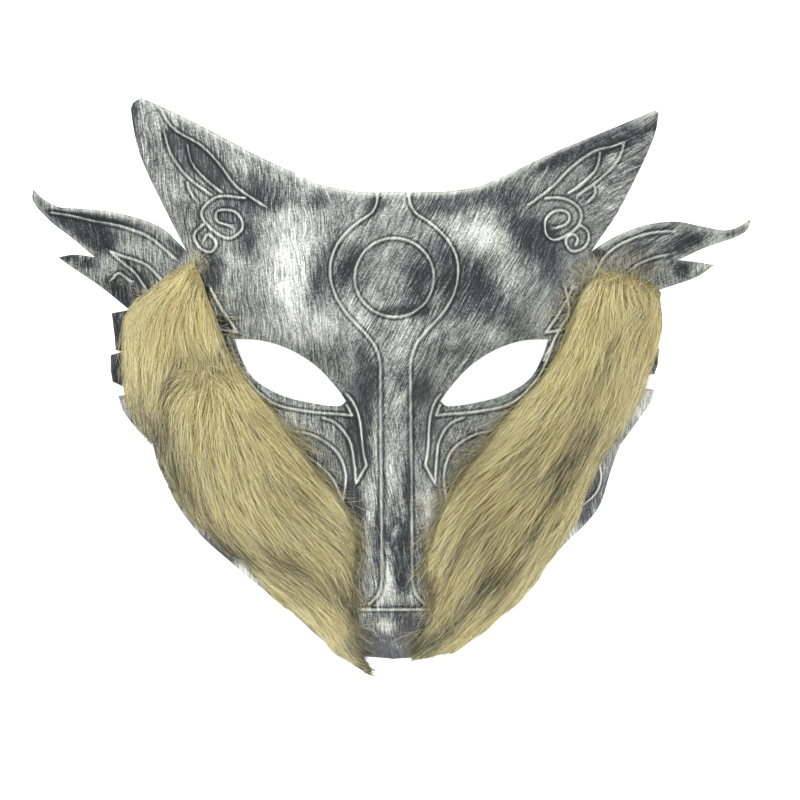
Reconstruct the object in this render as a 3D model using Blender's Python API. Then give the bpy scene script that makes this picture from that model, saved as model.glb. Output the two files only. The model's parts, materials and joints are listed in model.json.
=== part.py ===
# Werewolf mask lying face up on its rim: one moulded face with ears, flares and eye holes,
# and a fur cheek on each side. X is to the viewer's right, Y towards the ears, Z out of the face.

import math

import bpy
import numpy as np
from mathutils.geometry import delaunay_2d_cdt

for thing in list(bpy.data.objects):
    bpy.data.objects.remove(thing, do_unlink=True)

# Driving sizes of the face, in metres
FACE_HEIGHT = 0.1624
FACE_HALF_WIDTH = 0.099
MASK_DEPTH = 0.084
SHELL_WALL = 0.0016
RIM_THICKNESS = 0.0018
RIM_LAND = 0.0022
DOME_POWER = 2.3

# Raised lines, and the ring on the forehead
RIDGE_WIDTH = 0.0016
RIDGE_HEIGHT = 0.0009
RING_RADIUS = 0.0137
RING_UP = 0.815

# Eye holes: each has its own length, height, tilt and place
EYE_LENGTH = 0.0442
EYE_HEIGHT = 0.0160
EYE_TILT = math.radians(30.0)
EYE_ACROSS = 0.362
EYE_UP = 0.618

# Ears and flares: length from the root, and angle above the level line, pointing outwards
LEFT_EAR_LENGTH = 0.0576
LEFT_EAR_ANGLE = math.radians(46.4)
RIGHT_EAR_LENGTH = 0.0589
RIGHT_EAR_ANGLE = math.radians(41.1)
EAR_TIP_RISE = 0.024
EAR_HOLLOW = 0.0045
LEFT_FLARE_LENGTH = 0.0554
LEFT_FLARE_ANGLE = math.radians(36.3)
RIGHT_FLARE_LENGTH = 0.0501
RIGHT_FLARE_ANGLE = math.radians(22.5)
FLARE_TIP_RISE = 0.008
FLARE_HOLLOW = 0.002

# Fur cheeks: pile height, height at the edge, depth of the grooves between locks, and seat
FUR_PILE = 0.0095
FUR_EDGE = 0.0016
FUR_SHOULDER = 0.011
FUR_GROOVE = 0.0028
FUR_LOCKS = 7
LOCK_TIP = 0.0045
LOCK_TIPS = 15
SEAT_GAP = 0.0003

# Facet sizes
LINE_STEP = 0.0042
EDGE_STEPS = 120
SCROLL_STEP = 0.0024
FRONT_STEP = 0.0075
BACK_STEP = 0.0088
FUR_STEP = 0.0065

# The face from chin to crown. Up is a share of the height; dome and nose are shares of the
# depth; bridge, muzzle and reach are shares of the half width.
FACE_ROWS = np.array([
    # up, dome, nose, bridge, muzzle, reach
    (-0.12, 0.38, 0.02, 0.14, 0.32, 0.66),
    (0.00, 0.50, 0.12, 0.14, 0.34, 0.69),
    (0.09, 0.58, 0.36, 0.12, 0.37, 0.73),
    (0.13, 0.60, 0.40, 0.08, 0.37, 0.75),
    (0.25, 0.62, 0.35, 0.055, 0.36, 0.76),
    (0.40, 0.64, 0.27, 0.055, 0.29, 0.82),
    (0.52, 0.66, 0.20, 0.055, 0.20, 0.93),
    (0.62, 0.70, 0.12, 0.055, 0.17, 0.955),
    (0.70, 0.73, 0.05, 0.055, 0.17, 0.96),
    (0.80, 0.74, 0.00, 0.055, 0.17, 0.955),
    (0.90, 0.70, 0.00, 0.055, 0.17, 0.95),
    (1.00, 0.60, 0.00, 0.055, 0.17, 0.93),
    (1.15, 0.40, 0.00, 0.055, 0.17, 0.90),
])
UP, DOME, NOSE, BRIDGE, MUZZLE, REACH = range(6)

# Swellings and hollows, on both sides. Place and spread are shares of the half width and the
# height, the tilt is in degrees, and the rise is a share of the depth.
FACE_FORMS = [
    # across, up, length, breadth, tilt, rise
    (0.36, 0.745, 0.30, 0.085, 30.0, 0.055),
    (0.36, 0.880, 0.20, 0.150, 0.0, 0.030),
    (0.36, 0.612, 0.24, 0.120, 30.0, -0.075),
    (0.30, 0.470, 0.17, 0.110, 25.0, 0.035),
    (0.14, 0.800, 0.07, 0.180, 90.0, -0.020),
    (0.70, 0.720, 0.14, 0.160, 60.0, -0.030),
]

# Roots of the ear and the flare on each side, as shares across and up the face
LEFT_ROOTS = [(0.281, 1.021), (0.725, 0.877), (0.933, 0.753)]
RIGHT_ROOTS = [(0.308, 1.014), (0.716, 0.877), (0.980, 0.797)]

# The outline of each side from crown to chin. A curve runs smoothly through its points and a
# corner row is straight. Face points are shares across and up; ear and flare points are shares
# along the piece and across its root.
LEFT_OUTLINE = [
    ("curve", "face", [(0.0, 1.0), (0.10, 1.0), (0.19, 1.008), (0.281, 1.021)]),
    ("curve", "ear", [(0.08, -0.95), (0.31, -0.71), (0.59, -0.48), (0.82, -0.27), (1.0, -0.08)]),
    ("curve", "ear", [(1.0, 0.05), (0.97, 0.15)]),
    ("curve", "ear", [(0.85, 0.32), (0.72, 0.48), (0.55, 0.63), (0.35, 0.77), (0.0, 1.0)]),
    ("curve", "flare", [(0.09, -1.06), (0.19, -1.11), (0.30, -1.05), (0.5, -0.76), (0.71, -0.26),
                        (0.79, -0.04), (0.89, 0.04), (1.0, 0.0)]),
    ("curve", "flare", [(0.95, 0.22), (0.78, 0.38), (0.6, 0.40), (0.4, 0.45)]),
    ("curve", "flare", [(0.51, 0.71), (0.57, 1.0)]),
    ("curve", "flare", [(0.44, 0.99), (0.25, 0.96), (0.0, 1.0)]),
    ("corner", "face", [(0.998, 0.746), (0.987, 0.692), (0.984, 0.665), (0.958, 0.661)]),
    ("corner", "face", [(1.002, 0.654), (1.002, 0.621), (0.995, 0.595), (0.955, 0.584)]),
    ("corner", "face", [(0.945, 0.566), (0.973, 0.564)]),
    ("curve", "face", [(0.962, 0.537), (0.90, 0.486), (0.842, 0.453), (0.828, 0.43)]),
    ("curve", "face", [(0.81, 0.394), (0.77, 0.334), (0.72, 0.288), (0.663, 0.25), (0.575, 0.205),
                       (0.475, 0.155), (0.36, 0.10), (0.272, 0.052), (0.18, 0.016), (0.0, 0.0)]),
]
RIGHT_OUTLINE = [
    ("curve", "face", [(0.0, 1.0), (0.10, 1.0), (0.20, 1.003), (0.308, 1.014)]),
    ("curve", "ear", [(0.16, -0.85), (0.45, -0.61), (0.73, -0.32), (1.0, -0.05)]),
    ("curve", "ear", [(1.0, 0.02), (0.97, 0.07)]),
    ("curve", "ear", [(0.9, 0.19), (0.77, 0.35), (0.51, 0.61), (0.25, 0.84), (0.0, 1.0)]),
    ("curve", "flare", [(0.11, -1.08), (0.24, -1.15), (0.47, -1.12), (0.64, -0.85), (0.72, -0.37),
                        (0.80, 0.05), (0.9, 0.08), (1.0, 0.0)]),
    ("curve", "flare", [(0.90, 0.27), (0.8, 0.36), (0.56, 0.30), (0.34, 0.33)]),
    ("curve", "flare", [(0.41, 0.65), (0.46, 0.94)]),
    ("curve", "flare", [(0.29, 1.08), (0.1, 1.04), (0.0, 1.0)]),
    ("corner", "face", [(0.975, 0.72), (0.961, 0.674)]),
    ("corner", "face", [(0.988, 0.668), (0.983, 0.634), (0.972, 0.612), (0.943, 0.610)]),
    ("corner", "face", [(0.938, 0.580), (0.972, 0.578)]),
    ("curve", "face", [(0.957, 0.55), (0.925, 0.521), (0.881, 0.485), (0.842, 0.453)]),
    ("curve", "face", [(0.81, 0.394), (0.77, 0.32), (0.713, 0.28), (0.642, 0.245), (0.548, 0.19),
                       (0.46, 0.14), (0.36, 0.09), (0.272, 0.045), (0.18, 0.012), (0.0, 0.0)]),
]

# The edge of an eye hole, as shares of half its length towards the nose and half its height
EYE_EDGE = [
    ("curve", "eye", [(-1.0, 0.0), (-0.61, 0.53), (-0.15, 0.79), (0.36, 0.71), (0.87, 0.24),
                      (1.0, 0.05)]),
    ("curve", "eye", [(0.97, -0.22), (0.49, -0.82), (0.02, -1.14), (-0.43, -1.09),
                      (-0.78, -0.54), (-1.0, 0.0)]),
]

# Raised lines on both sides of the face
FACE_RIDGES = [
    ("face", [(0.055, 0.998), (0.058, 0.977), (0.076, 0.955), (0.115, 0.938), (0.155, 0.918),
              (0.193, 0.891), (0.216, 0.862), (0.224, 0.831), (0.219, 0.803), (0.203, 0.774),
              (0.175, 0.745), (0.139, 0.719), (0.103, 0.696), (0.07, 0.668), (0.053, 0.635),
              (0.052, 0.60)]),
    ("face", [(0.052, 0.60), (0.052, 0.18)]),
    ("face", [(0.052, 0.18), (0.062, 0.15), (0.095, 0.127)]),
    ("face", [(0.0, 0.115), (0.122, 0.115)]),
    ("eye", [(-1.11, -0.08), (-0.84, -0.71), (-0.5, -1.29), (0.03, -1.60), (0.56, -1.17),
             (0.97, -0.64), (1.19, -0.36)]),
    ("eye", [(1.19, -0.36), (1.04, -0.08)]),
    ("face", [(0.165, 0.567), (0.145, 0.552), (0.124, 0.518), (0.112, 0.445), (0.102, 0.417)]),
    ("face", [(0.102, 0.417), (0.137, 0.378)]),
    ("face", [(0.246, 0.516), (0.206, 0.507), (0.158, 0.470), (0.143, 0.420), (0.137, 0.378)]),
    ("face", [(0.345, 0.488), (0.278, 0.478), (0.202, 0.445), (0.172, 0.400), (0.180, 0.340)]),
    ("face", [(0.330, 0.440), (0.282, 0.425), (0.218, 0.388), (0.180, 0.340)]),
    ("face", [(0.640, 0.793), (0.615, 0.764), (0.580, 0.730), (0.545, 0.700)]),
    ("face", [(0.545, 0.700), (0.600, 0.706)]),
]

# Raised lines of each ear and flare: leaf lines, then the two scrolls
LEFT_RIDGES = [
    ("ear", [(0.88, -0.16), (0.73, -0.10), (0.54, -0.22), (0.39, -0.22), (0.21, -0.17),
             (0.03, -0.25)]),
    ("ear", [(0.74, 0.03), (0.66, 0.12), (0.57, 0.20), (0.40, 0.24), (0.24, 0.18)]),
    ("ear", [(0.59, -0.08), (0.54, -0.01), (0.47, 0.06), (0.30, 0.07), (0.22, 0.04)]),
    ("ear", [(0.38, 0.30), (0.33, 0.36), (0.25, 0.39)]),
    ("flare", [(0.81, 0.21), (0.70, -0.03), (0.57, -0.26), (0.44, -0.52), (0.25, -0.74),
               (0.15, -0.74), (0.03, -0.69)]),
    ("flare", [(0.36, 0.11), (0.25, 0.15), (0.15, 0.17), (0.04, 0.31)]),
    ("flare", [(0.36, 0.11), (0.29, 0.04), (0.13, -0.15), (-0.01, -0.07)]),
    ("flare", [(0.22, 0.59), (0.22, 0.42), (0.13, 0.41)]),
]
LEFT_SCROLLS = [
    ("ear", [(0.12, -0.14), (0.21, 0.14), (0.17, 0.46), (0.05, 0.52), (-0.06, 0.43),
             (-0.04, 0.18), (0.07, 0.10), (0.13, 0.28), (0.08, 0.38), (0.01, 0.30)]),
    ("ear", [(0.10, 0.55), (0.07, 0.76), (-0.02, 0.83), (-0.08, 0.76), (-0.05, 0.62),
             (0.03, 0.61), (0.01, 0.71)]),
]
RIGHT_RIDGES = [
    ("ear", [(0.06, -0.25), (0.22, -0.22), (0.42, -0.25), (0.57, -0.20), (0.66, -0.06),
             (0.72, 0.01)]),
    ("ear", [(0.72, 0.01), (0.60, 0.16), (0.44, 0.20), (0.27, 0.16)]),
    ("ear", [(0.58, -0.12), (0.48, 0.03), (0.31, 0.06), (0.25, 0.03)]),
    ("ear", [(0.37, 0.24), (0.34, 0.32), (0.27, 0.35)]),
    ("flare", [(-0.18, -0.27), (0.01, -0.66), (0.16, -0.84), (0.32, -0.88), (0.45, -0.80),
               (0.55, -0.59)]),
    ("flare", [(0.32, 0.03), (0.24, -0.04), (0.13, -0.03), (0.04, 0.04)]),
]
RIGHT_SCROLLS = [
    ("ear", [(0.16, -0.16), (0.23, 0.16), (0.18, 0.46), (0.05, 0.50), (-0.05, 0.42),
             (0.01, 0.18), (0.11, 0.10), (0.15, 0.29), (0.09, 0.37), (0.03, 0.30)]),
    ("ear", [(0.13, 0.56), (0.08, 0.78), (-0.05, 0.78), (-0.02, 0.62), (0.05, 0.66)]),
]

# Fur cheeks: the edge by the eye and nose, then the edge by the rim, both from temple to chin
LEFT_FUR_INNER = [(0.668, 0.81), (0.626, 0.73), (0.558, 0.64), (0.50, 0.583), (0.43, 0.538),
                  (0.36, 0.505), (0.314, 0.428), (0.252, 0.372), (0.187, 0.325), (0.149, 0.292),
                  (0.132, 0.241), (0.133, 0.184), (0.123, 0.128), (0.13, 0.07), (0.10, 0.012)]
LEFT_FUR_OUTER = [(0.70, 0.858), (0.769, 0.832), (0.831, 0.80), (0.93, 0.757), (0.945, 0.70),
                  (0.94, 0.57), (0.911, 0.528), (0.831, 0.449), (0.802, 0.39), (0.744, 0.324),
                  (0.658, 0.254), (0.564, 0.208), (0.444, 0.148), (0.293, 0.085),
                  (0.183, 0.016), (0.075, -0.025)]
RIGHT_FUR_INNER = [(0.705, 0.809), (0.664, 0.769), (0.645, 0.716), (0.603, 0.663),
                   (0.543, 0.611), (0.466, 0.562), (0.396, 0.515), (0.308, 0.44),
                   (0.229, 0.382), (0.183, 0.338), (0.143, 0.298), (0.125, 0.253),
                   (0.095, 0.214), (0.092, 0.184), (0.11, 0.128), (0.102, 0.08), (0.11, 0.012)]
RIGHT_FUR_OUTER = [(0.764, 0.833), (0.843, 0.828), (0.917, 0.821), (0.98, 0.80), (0.99, 0.758),
                   (0.985, 0.70), (0.965, 0.66), (0.945, 0.617), (0.918, 0.577), (0.827, 0.46),
                   (0.80, 0.39), (0.753, 0.331), (0.635, 0.26), (0.541, 0.196), (0.485, 0.145),
                   (0.421, 0.115), (0.291, 0.051), (0.204, 0.012), (0.10, -0.012)]

SIDES = {
    "left": dict(sign=-1.0, roots=LEFT_ROOTS, outline=LEFT_OUTLINE,
                 ridges=LEFT_RIDGES, scrolls=LEFT_SCROLLS,
                 ear=(LEFT_EAR_LENGTH, LEFT_EAR_ANGLE), flare=(LEFT_FLARE_LENGTH, LEFT_FLARE_ANGLE),
                 fur_inner=LEFT_FUR_INNER, fur_outer=LEFT_FUR_OUTER),
    "right": dict(sign=1.0, roots=RIGHT_ROOTS, outline=RIGHT_OUTLINE,
                  ridges=RIGHT_RIDGES, scrolls=RIGHT_SCROLLS,
                  ear=(RIGHT_EAR_LENGTH, RIGHT_EAR_ANGLE),
                  flare=(RIGHT_FLARE_LENGTH, RIGHT_FLARE_ANGLE),
                  fur_inner=RIGHT_FUR_INNER, fur_outer=RIGHT_FUR_OUTER),
}


# Frames that the shares are measured in

def make_frame(origin, along, across):
    """A flat frame: an origin and two vectors, each one share long."""
    return np.array(origin), np.array([along, across]).T


def turned(length, angle, sign):
    """A vector of this length, at this angle above the level line, pointing outwards."""
    return np.array([sign * math.cos(angle), math.sin(angle)]) * length


def side_frames(side):
    """The face, ear, flare and eye frames of one side."""
    sign = side["sign"]
    across = np.array([sign * FACE_HALF_WIDTH, 0.0])
    face = make_frame((0.0, 0.0), across, (0.0, FACE_HEIGHT))
    ear_inner, ear_outer, flare_root = (face[1] @ np.array(root) for root in side["roots"])
    ear = make_frame((ear_inner + ear_outer) / 2, turned(*side["ear"], sign),
                     (ear_outer - ear_inner) / 2)
    flare = make_frame((ear_outer + flare_root) / 2, turned(*side["flare"], sign),
                       (flare_root - ear_outer) / 2)
    towards_nose = -turned(EYE_LENGTH / 2, EYE_TILT, sign)
    eye_up = np.array([-sign * math.sin(EYE_TILT), math.cos(EYE_TILT)]) * EYE_HEIGHT / 2
    eye = make_frame(face[1] @ np.array([EYE_ACROSS, EYE_UP]), towards_nose, eye_up)
    return {"face": face, "ear": ear, "flare": flare, "eye": eye}


for side in SIDES.values():
    side["frames"] = side_frames(side)


def place(frame, shares):
    """Shares in a frame, as places in metres."""
    origin, axes = frame
    return origin + np.array(shares) @ axes.T


def shares_at(frame, x, y):
    """Where places lie in a frame, as two arrays of shares."""
    origin, axes = frame
    found = np.stack([x - origin[0], y - origin[1]], axis=-1) @ np.linalg.inv(axes).T
    return found[..., 0], found[..., 1]


# Smooth curves and closed outlines

def smooth_curve(points, step):
    """A smooth curve through the points, with a place about every step along it."""
    points = np.asarray(points, dtype=float)
    padded = np.vstack([2 * points[0] - points[1], points, 2 * points[-1] - points[-2]])
    places = [points[:1]]
    for i in range(len(points) - 1):
        a, b, c, d = padded[i:i + 4]
        t0 = 0.0
        t1 = t0 + math.sqrt(np.linalg.norm(b - a))
        t2 = t1 + math.sqrt(np.linalg.norm(c - b))
        t3 = t2 + math.sqrt(np.linalg.norm(d - c))
        count = max(1, round(float(np.linalg.norm(c - b)) / step))
        t = (t1 + (t2 - t1) * np.arange(1, count + 1) / count)[:, None]
        ab = (a * (t1 - t) + b * (t - t0)) / (t1 - t0)
        bc = (b * (t2 - t) + c * (t - t1)) / (t2 - t1)
        cd = (c * (t3 - t) + d * (t - t2)) / (t3 - t2)
        abc = (ab * (t2 - t) + bc * (t - t0)) / (t2 - t0)
        bcd = (bc * (t3 - t) + cd * (t - t1)) / (t3 - t1)
        places.append((abc * (t2 - t) + bcd * (t - t1)) / (t2 - t1))
    return np.vstack(places)


def evenly(line, step):
    """The same line with its places about a step apart."""
    lengths = np.concatenate([[0], np.cumsum(np.linalg.norm(np.diff(line, axis=0), axis=1))])
    even = np.linspace(0, lengths[-1], max(2, round(lengths[-1] / step) + 1))
    return np.stack([np.interp(even, lengths, line[:, 0]),
                     np.interp(even, lengths, line[:, 1])], axis=-1)


def runs_where(line, chosen):
    """The stretches of a line whose places are chosen."""
    cuts = np.flatnonzero(np.diff(chosen.astype(int))) + 1
    pieces = zip(np.split(line, cuts), np.split(chosen, cuts))
    return [piece for piece, seen in pieces if seen[0] and len(piece) > 1]


def follow(side, rows):
    """One line through the rows of an outline, each starting where the last one ended."""
    line = None
    for kind, frame_name, shares in rows:
        points = place(side["frames"][frame_name], shares)
        if line is not None:
            points = np.vstack([line[-1:], points])
        if kind == "curve":
            points = smooth_curve(points, LINE_STEP)
        line = points if line is None else np.vstack([line, points[1:]])
    return line


def shell_outline():
    """The whole mask's outline, from the crown down the left side and up the right side."""
    left = follow(SIDES["left"], SIDES["left"]["outline"])
    right = follow(SIDES["right"], SIDES["right"]["outline"])
    return np.vstack([left[:-1], right[:0:-1]])


def eye_outline(side):
    return follow(side, EYE_EDGE)[:-1]


# The front of the mask as a height over the surface that it lies on

def profile(up, column):
    """A column of the face table at these heights, joined by smooth curves."""
    knots = FACE_ROWS[:, UP]
    values = FACE_ROWS[:, column]
    slopes = np.gradient(values, knots)
    up = np.clip(up, knots[0], knots[-1])
    i = np.clip(np.searchsorted(knots, up) - 1, 0, len(knots) - 2)
    gap = knots[i + 1] - knots[i]
    t = (up - knots[i]) / gap
    start = (1 + 2 * t) * (1 - t) ** 2 * values[i] + t * (1 - t) ** 2 * gap * slopes[i]
    end = t ** 2 * (3 - 2 * t) * values[i + 1] - t ** 2 * (1 - t) * gap * slopes[i + 1]
    return start + end


def ease(t):
    """Zero below 0, one above 1, and smooth between."""
    t = np.clip(t, 0.0, 1.0)
    return t * t * (3 - 2 * t)


def face_height(x, y):
    """The face without its ears and flares."""
    across = np.abs(x) / FACE_HALF_WIDTH
    up = y / FACE_HEIGHT
    dome = profile(up, DOME) * (1 - (across / profile(up, REACH)) ** DOME_POWER)
    side_slope = (across - profile(up, BRIDGE)) / (profile(up, MUZZLE) - profile(up, BRIDGE))
    height = (dome + profile(up, NOSE) * (1 - ease(side_slope))) * MASK_DEPTH
    for form_across, form_up, length, breadth, tilt, rise in FACE_FORMS:
        dx = (across - form_across) * FACE_HALF_WIDTH
        dy = (up - form_up) * FACE_HEIGHT
        turn = math.radians(tilt)
        along = (dx * math.cos(turn) + dy * math.sin(turn)) / (length * FACE_HALF_WIDTH)
        aside = (dy * math.cos(turn) - dx * math.sin(turn)) / (breadth * FACE_HALF_WIDTH)
        height = height + rise * MASK_DEPTH * np.exp(-along ** 2 - aside ** 2)
    return (height + RIM_THICKNESS + np.sqrt((height - RIM_THICKNESS) ** 2 + 1.0e-6)) / 2


def leaf_height(frame, along, across, tip_rise, hollow):
    """A leaf that runs from its root on the face to its tip, hollow along its middle."""
    root = place(frame, np.stack([np.zeros_like(across), np.clip(across, -1.1, 1.1)], axis=-1))
    rooted = face_height(root[..., 0], root[..., 1])
    spread = np.clip(np.abs(across) / (1.05 - 0.9 * np.clip(along, 0, 1)), 0, 1)
    dip = hollow * ease(along / 0.4) * (1 - np.clip(along, 0, 1)) * (1 - spread ** 2)
    return rooted * (1 - along) + tip_rise * along - dip


def front_height(x, y):
    """The front skin of the whole mask, without its raised lines."""
    height = face_height(x, y)
    for side in SIDES.values():
        ear_along, ear_across = shares_at(side["frames"]["ear"], x, y)
        flare_along, flare_across = shares_at(side["frames"]["flare"], x, y)
        on_ear = (ear_along > 0) & (ear_across <= 1) & (ear_across > -1.2)
        on_flare = (flare_along > 0) & (ear_across > 1) & (np.sign(x) == side["sign"])
        ear = leaf_height(side["frames"]["ear"], ear_along, ear_across, EAR_TIP_RISE, EAR_HOLLOW)
        flare = leaf_height(side["frames"]["flare"], flare_along, flare_across,
                            FLARE_TIP_RISE, FLARE_HOLLOW)
        ear_share = ease(ear_along / 0.3)
        flare_share = ease(flare_along / 0.3)
        height = np.where(on_ear, height + (ear - height) * ear_share, height)
        height = np.where(on_flare, height + (flare - height) * flare_share, height)
    return height


def steepness(x, y):
    """How much longer the wall is when it is measured straight down."""
    step = 0.0004
    slope_x = (front_height(x + step, y) - front_height(x - step, y)) / (2 * step)
    slope_y = (front_height(x, y + step) - front_height(x, y - step)) / (2 * step)
    return np.sqrt(1 + np.clip(slope_x ** 2 + slope_y ** 2, 0, 6.0))


def back_height(x, y):
    """The back skin: one wall below the front, and flat where the rim lies down."""
    height = front_height(x, y) - SHELL_WALL * steepness(x, y)
    return np.where(height < RIM_THICKNESS / 2, 0.0, height)


# Raised lines

def ridge_lines():
    """The middle of each raised line."""
    lines = []
    for side in SIDES.values():
        for frame_name, shares in FACE_RIDGES + side["ridges"]:
            lines.append(smooth_curve(place(side["frames"][frame_name], shares), LINE_STEP))
        for frame_name, shares in side["scrolls"]:
            lines.append(smooth_curve(place(side["frames"][frame_name], shares), SCROLL_STEP))
    sides = round(2 * math.pi * RING_RADIUS / LINE_STEP)
    turns = 2 * math.pi * np.arange(sides + 1) / sides
    ring = np.stack([np.cos(turns), np.sin(turns)], axis=-1) * RING_RADIUS
    lines.append(ring + np.array([0.0, RING_UP * FACE_HEIGHT]))
    return lines


def shifted(line, distance):
    """The line moved sideways, square to its own run."""
    run = np.gradient(line, axis=0)
    run = run / np.linalg.norm(run, axis=1)[:, None]
    return line + distance * np.stack([-run[:, 1], run[:, 0]], axis=-1)


def distance_to(lines, places):
    """How far each place is from the nearest of the lines."""
    starts = np.vstack([line[:-1] for line in lines])
    runs = np.vstack([line[1:] - line[:-1] for line in lines])
    nearest = np.empty(len(places))
    for i, spot in enumerate(places):
        t = np.clip(((spot - starts) * runs).sum(1) / (runs ** 2).sum(1), 0, 1)
        nearest[i] = np.linalg.norm(starts + t[:, None] * runs - spot, axis=1).min()
    return nearest


def inside(loop, places):
    """Which places lie inside a closed loop."""
    x, y = places[:, 0], places[:, 1]
    found = np.zeros(len(places), dtype=bool)
    for (x0, y0), (x1, y1) in zip(loop, np.roll(loop, -1, axis=0)):
        crosses = (y0 > y) != (y1 > y)
        if y0 != y1:
            found ^= crosses & (x < (x1 - x0) * (y - y0) / (y1 - y0) + x0)
    return found


# Flat plans cut into triangles

def plan(loops, lines, spots):
    """Triangles over the loops, lines and single spots. Returns places, triangles and the
    number of the new place for each of the loops' own places."""
    places = []
    edges = []
    for run, closed in [(loop, True) for loop in loops] + [(line, False) for line in lines]:
        first = len(places)
        places.extend(run)
        edges.extend((first + i, first + i + 1) for i in range(len(run) - 1))
        if closed:
            edges.append((first + len(run) - 1, first))
    places.extend(spots)
    millimetres = [(1000 * float(x), 1000 * float(y)) for x, y in places]
    result = delaunay_2d_cdt(millimetres, edges, [], 0, 0.02, True)
    new_places = np.array([tuple(place) for place in result[0]]) / 1000
    triangles = np.array(result[2])
    given = np.full(len(places), -1)
    for new, olds in enumerate(result[3]):
        given[list(olds)] = new
    return new_places, triangles, given


def grid(loop, step, lines, clearance):
    """Spots in even staggered rows inside a loop, clear of the lines."""
    low = loop.min(axis=0)
    high = loop.max(axis=0)
    rows = int((high[1] - low[1]) / (step * 0.866)) + 1
    spots = []
    for row in range(rows):
        shift = 0.5 * step * (row % 2)
        xs = np.arange(low[0] + shift, high[0], step)
        spots.extend((x, low[1] + row * step * 0.866) for x in xs)
    spots = np.array(spots)
    spots = spots[inside(loop, spots)]
    return spots[distance_to(lines, spots) > clearance]


def middles(places, triangles):
    return places[triangles].mean(axis=1)


def rim_loops(triangles):
    """The directed edges that only one triangle uses, joined into loops."""
    edges = {}
    used = {(int(t[i]), int(t[(i + 1) % 3])) for t in triangles for i in range(3)}
    for start, end in used:
        if (end, start) not in used:
            edges[start] = end
    loops = []
    while edges:
        start = next(iter(edges))
        loop = [start]
        end = edges.pop(start)
        while end != start:
            loop.append(end)
            end = edges.pop(end)
        loops.append(loop)
    return loops


def closed_body(name, top, top_triangles, top_z, under, under_triangles, under_z, pairs):
    """A solid between two skins with the same edge. Pairs give each edge loop in both skins."""
    verts = [(x, y, z) for (x, y), z in zip(top, top_z)]
    first = len(verts)
    verts += [(x, y, z) for (x, y), z in zip(under, under_z)]
    faces = [tuple(int(i) for i in t) for t in top_triangles]
    faces += [tuple(first + int(i) for i in reversed(t)) for t in under_triangles]
    for top_loop, under_loop in pairs:
        for i in range(len(top_loop)):
            a, b = top_loop[i], top_loop[(i + 1) % len(top_loop)]
            c, d = first + under_loop[(i + 1) % len(top_loop)], first + under_loop[i]
            faces.append((b, a, d))
            faces.append((b, d, c))
    used = sorted({i for face in faces for i in face})
    order = {old: new for new, old in enumerate(used)}
    mesh = bpy.data.meshes.new(name)
    mesh.from_pydata([verts[i] for i in used], [], [[order[i] for i in f] for f in faces])
    mesh.update()
    piece = bpy.data.objects.new(name, mesh)
    bpy.context.scene.collection.objects.link(piece)
    return piece


# Fur cheeks

def fur_edges(side):
    """The two long edges of a fur cheek, with as many places on each."""
    edges = []
    for name in ("fur_inner", "fur_outer"):
        line = smooth_curve(place(side["frames"]["face"], side[name]), LINE_STEP)
        length = np.linalg.norm(np.diff(line, axis=0), axis=1).sum()
        edges.append(evenly(line, length / EDGE_STEPS))
    return edges


def fur_outline(side):
    """The fur's outline, its outer and lower edge cut into the tips of locks."""
    inner, outer = fur_edges(side)
    run = np.gradient(outer, axis=0)
    run = run / np.linalg.norm(run, axis=1)[:, None]
    outward = np.stack([-run[:, 1], run[:, 0]], axis=-1) * side["sign"]
    tips = []
    for i in range(LOCK_TIPS):
        at = [round((i + share) / LOCK_TIPS * (len(outer) - 1)) for share in (0.0, 0.45, 0.85)]
        size = LOCK_TIP * (0.45 + 0.55 * i / LOCK_TIPS)
        tips.append(outer[at[0]])
        tips.append(outer[at[1]] + outward[at[1]] * size * 0.35)
        tips.append(outer[at[2]] + outward[at[2]] * size * 0.5 + run[at[2]] * size * 0.5)
    tips.append(outer[-1])
    inner_line = inner[::4]
    return np.vstack([inner_line, np.array(tips)[::-1]])


def fur_shares(side, places):
    """For each place, how far it is across the fur, from its inner edge to its outer edge."""
    inner, outer = fur_edges(side)
    across = np.linspace(0, 1, 57)
    samples = inner[:, None] + (outer - inner)[:, None] * across[None, :, None]
    flat = samples.reshape(-1, 2)
    nearest = [int(((flat - spot) ** 2).sum(1).argmin()) for spot in places]
    return across[np.array(nearest) % len(across)]


def pile_height(side, outline, places):
    """Pile over the seat: low at the edge, full inside, grooved between the locks."""
    edge = distance_to([np.vstack([outline, outline[:1]])], places)
    shoulder = np.clip(edge / FUR_SHOULDER, 0, 1)
    full = FUR_EDGE + (FUR_PILE - FUR_EDGE) * np.sqrt(1 - (1 - shoulder) ** 2)
    lock = np.cos(2 * math.pi * FUR_LOCKS * fur_shares(side, places))
    return full - FUR_GROOVE * (0.5 + 0.5 * lock) * shoulder


def lock_lines(side, outline):
    """The crest and the groove of each lock, well inside the outline."""
    inner, outer = fur_edges(side)
    edge = [np.vstack([outline, outline[:1]])]
    lines = []
    for i in range(1, 2 * FUR_LOCKS):
        line = evenly(inner + (outer - inner) * i / (2 * FUR_LOCKS), FUR_STEP)
        lines += runs_where(line, inside(outline, line) & (distance_to(edge, line) > FUR_EDGE))
    return lines


# Materials

def add_material(piece, name, colour, roughness, metallic):
    material = bpy.data.materials.new(name)
    material.use_nodes = True
    shader = material.node_tree.nodes["Principled BSDF"]
    shader.inputs["Base Color"].default_value = (*colour, 1.0)
    shader.inputs["Roughness"].default_value = roughness
    shader.inputs["Metallic"].default_value = metallic
    piece.data.materials.append(material)


# The mask is drawn flat first: one plan holds the outline, the eye holes, the fur's outlines
# and the raised lines, so that fur and face meet on the same facets

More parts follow.
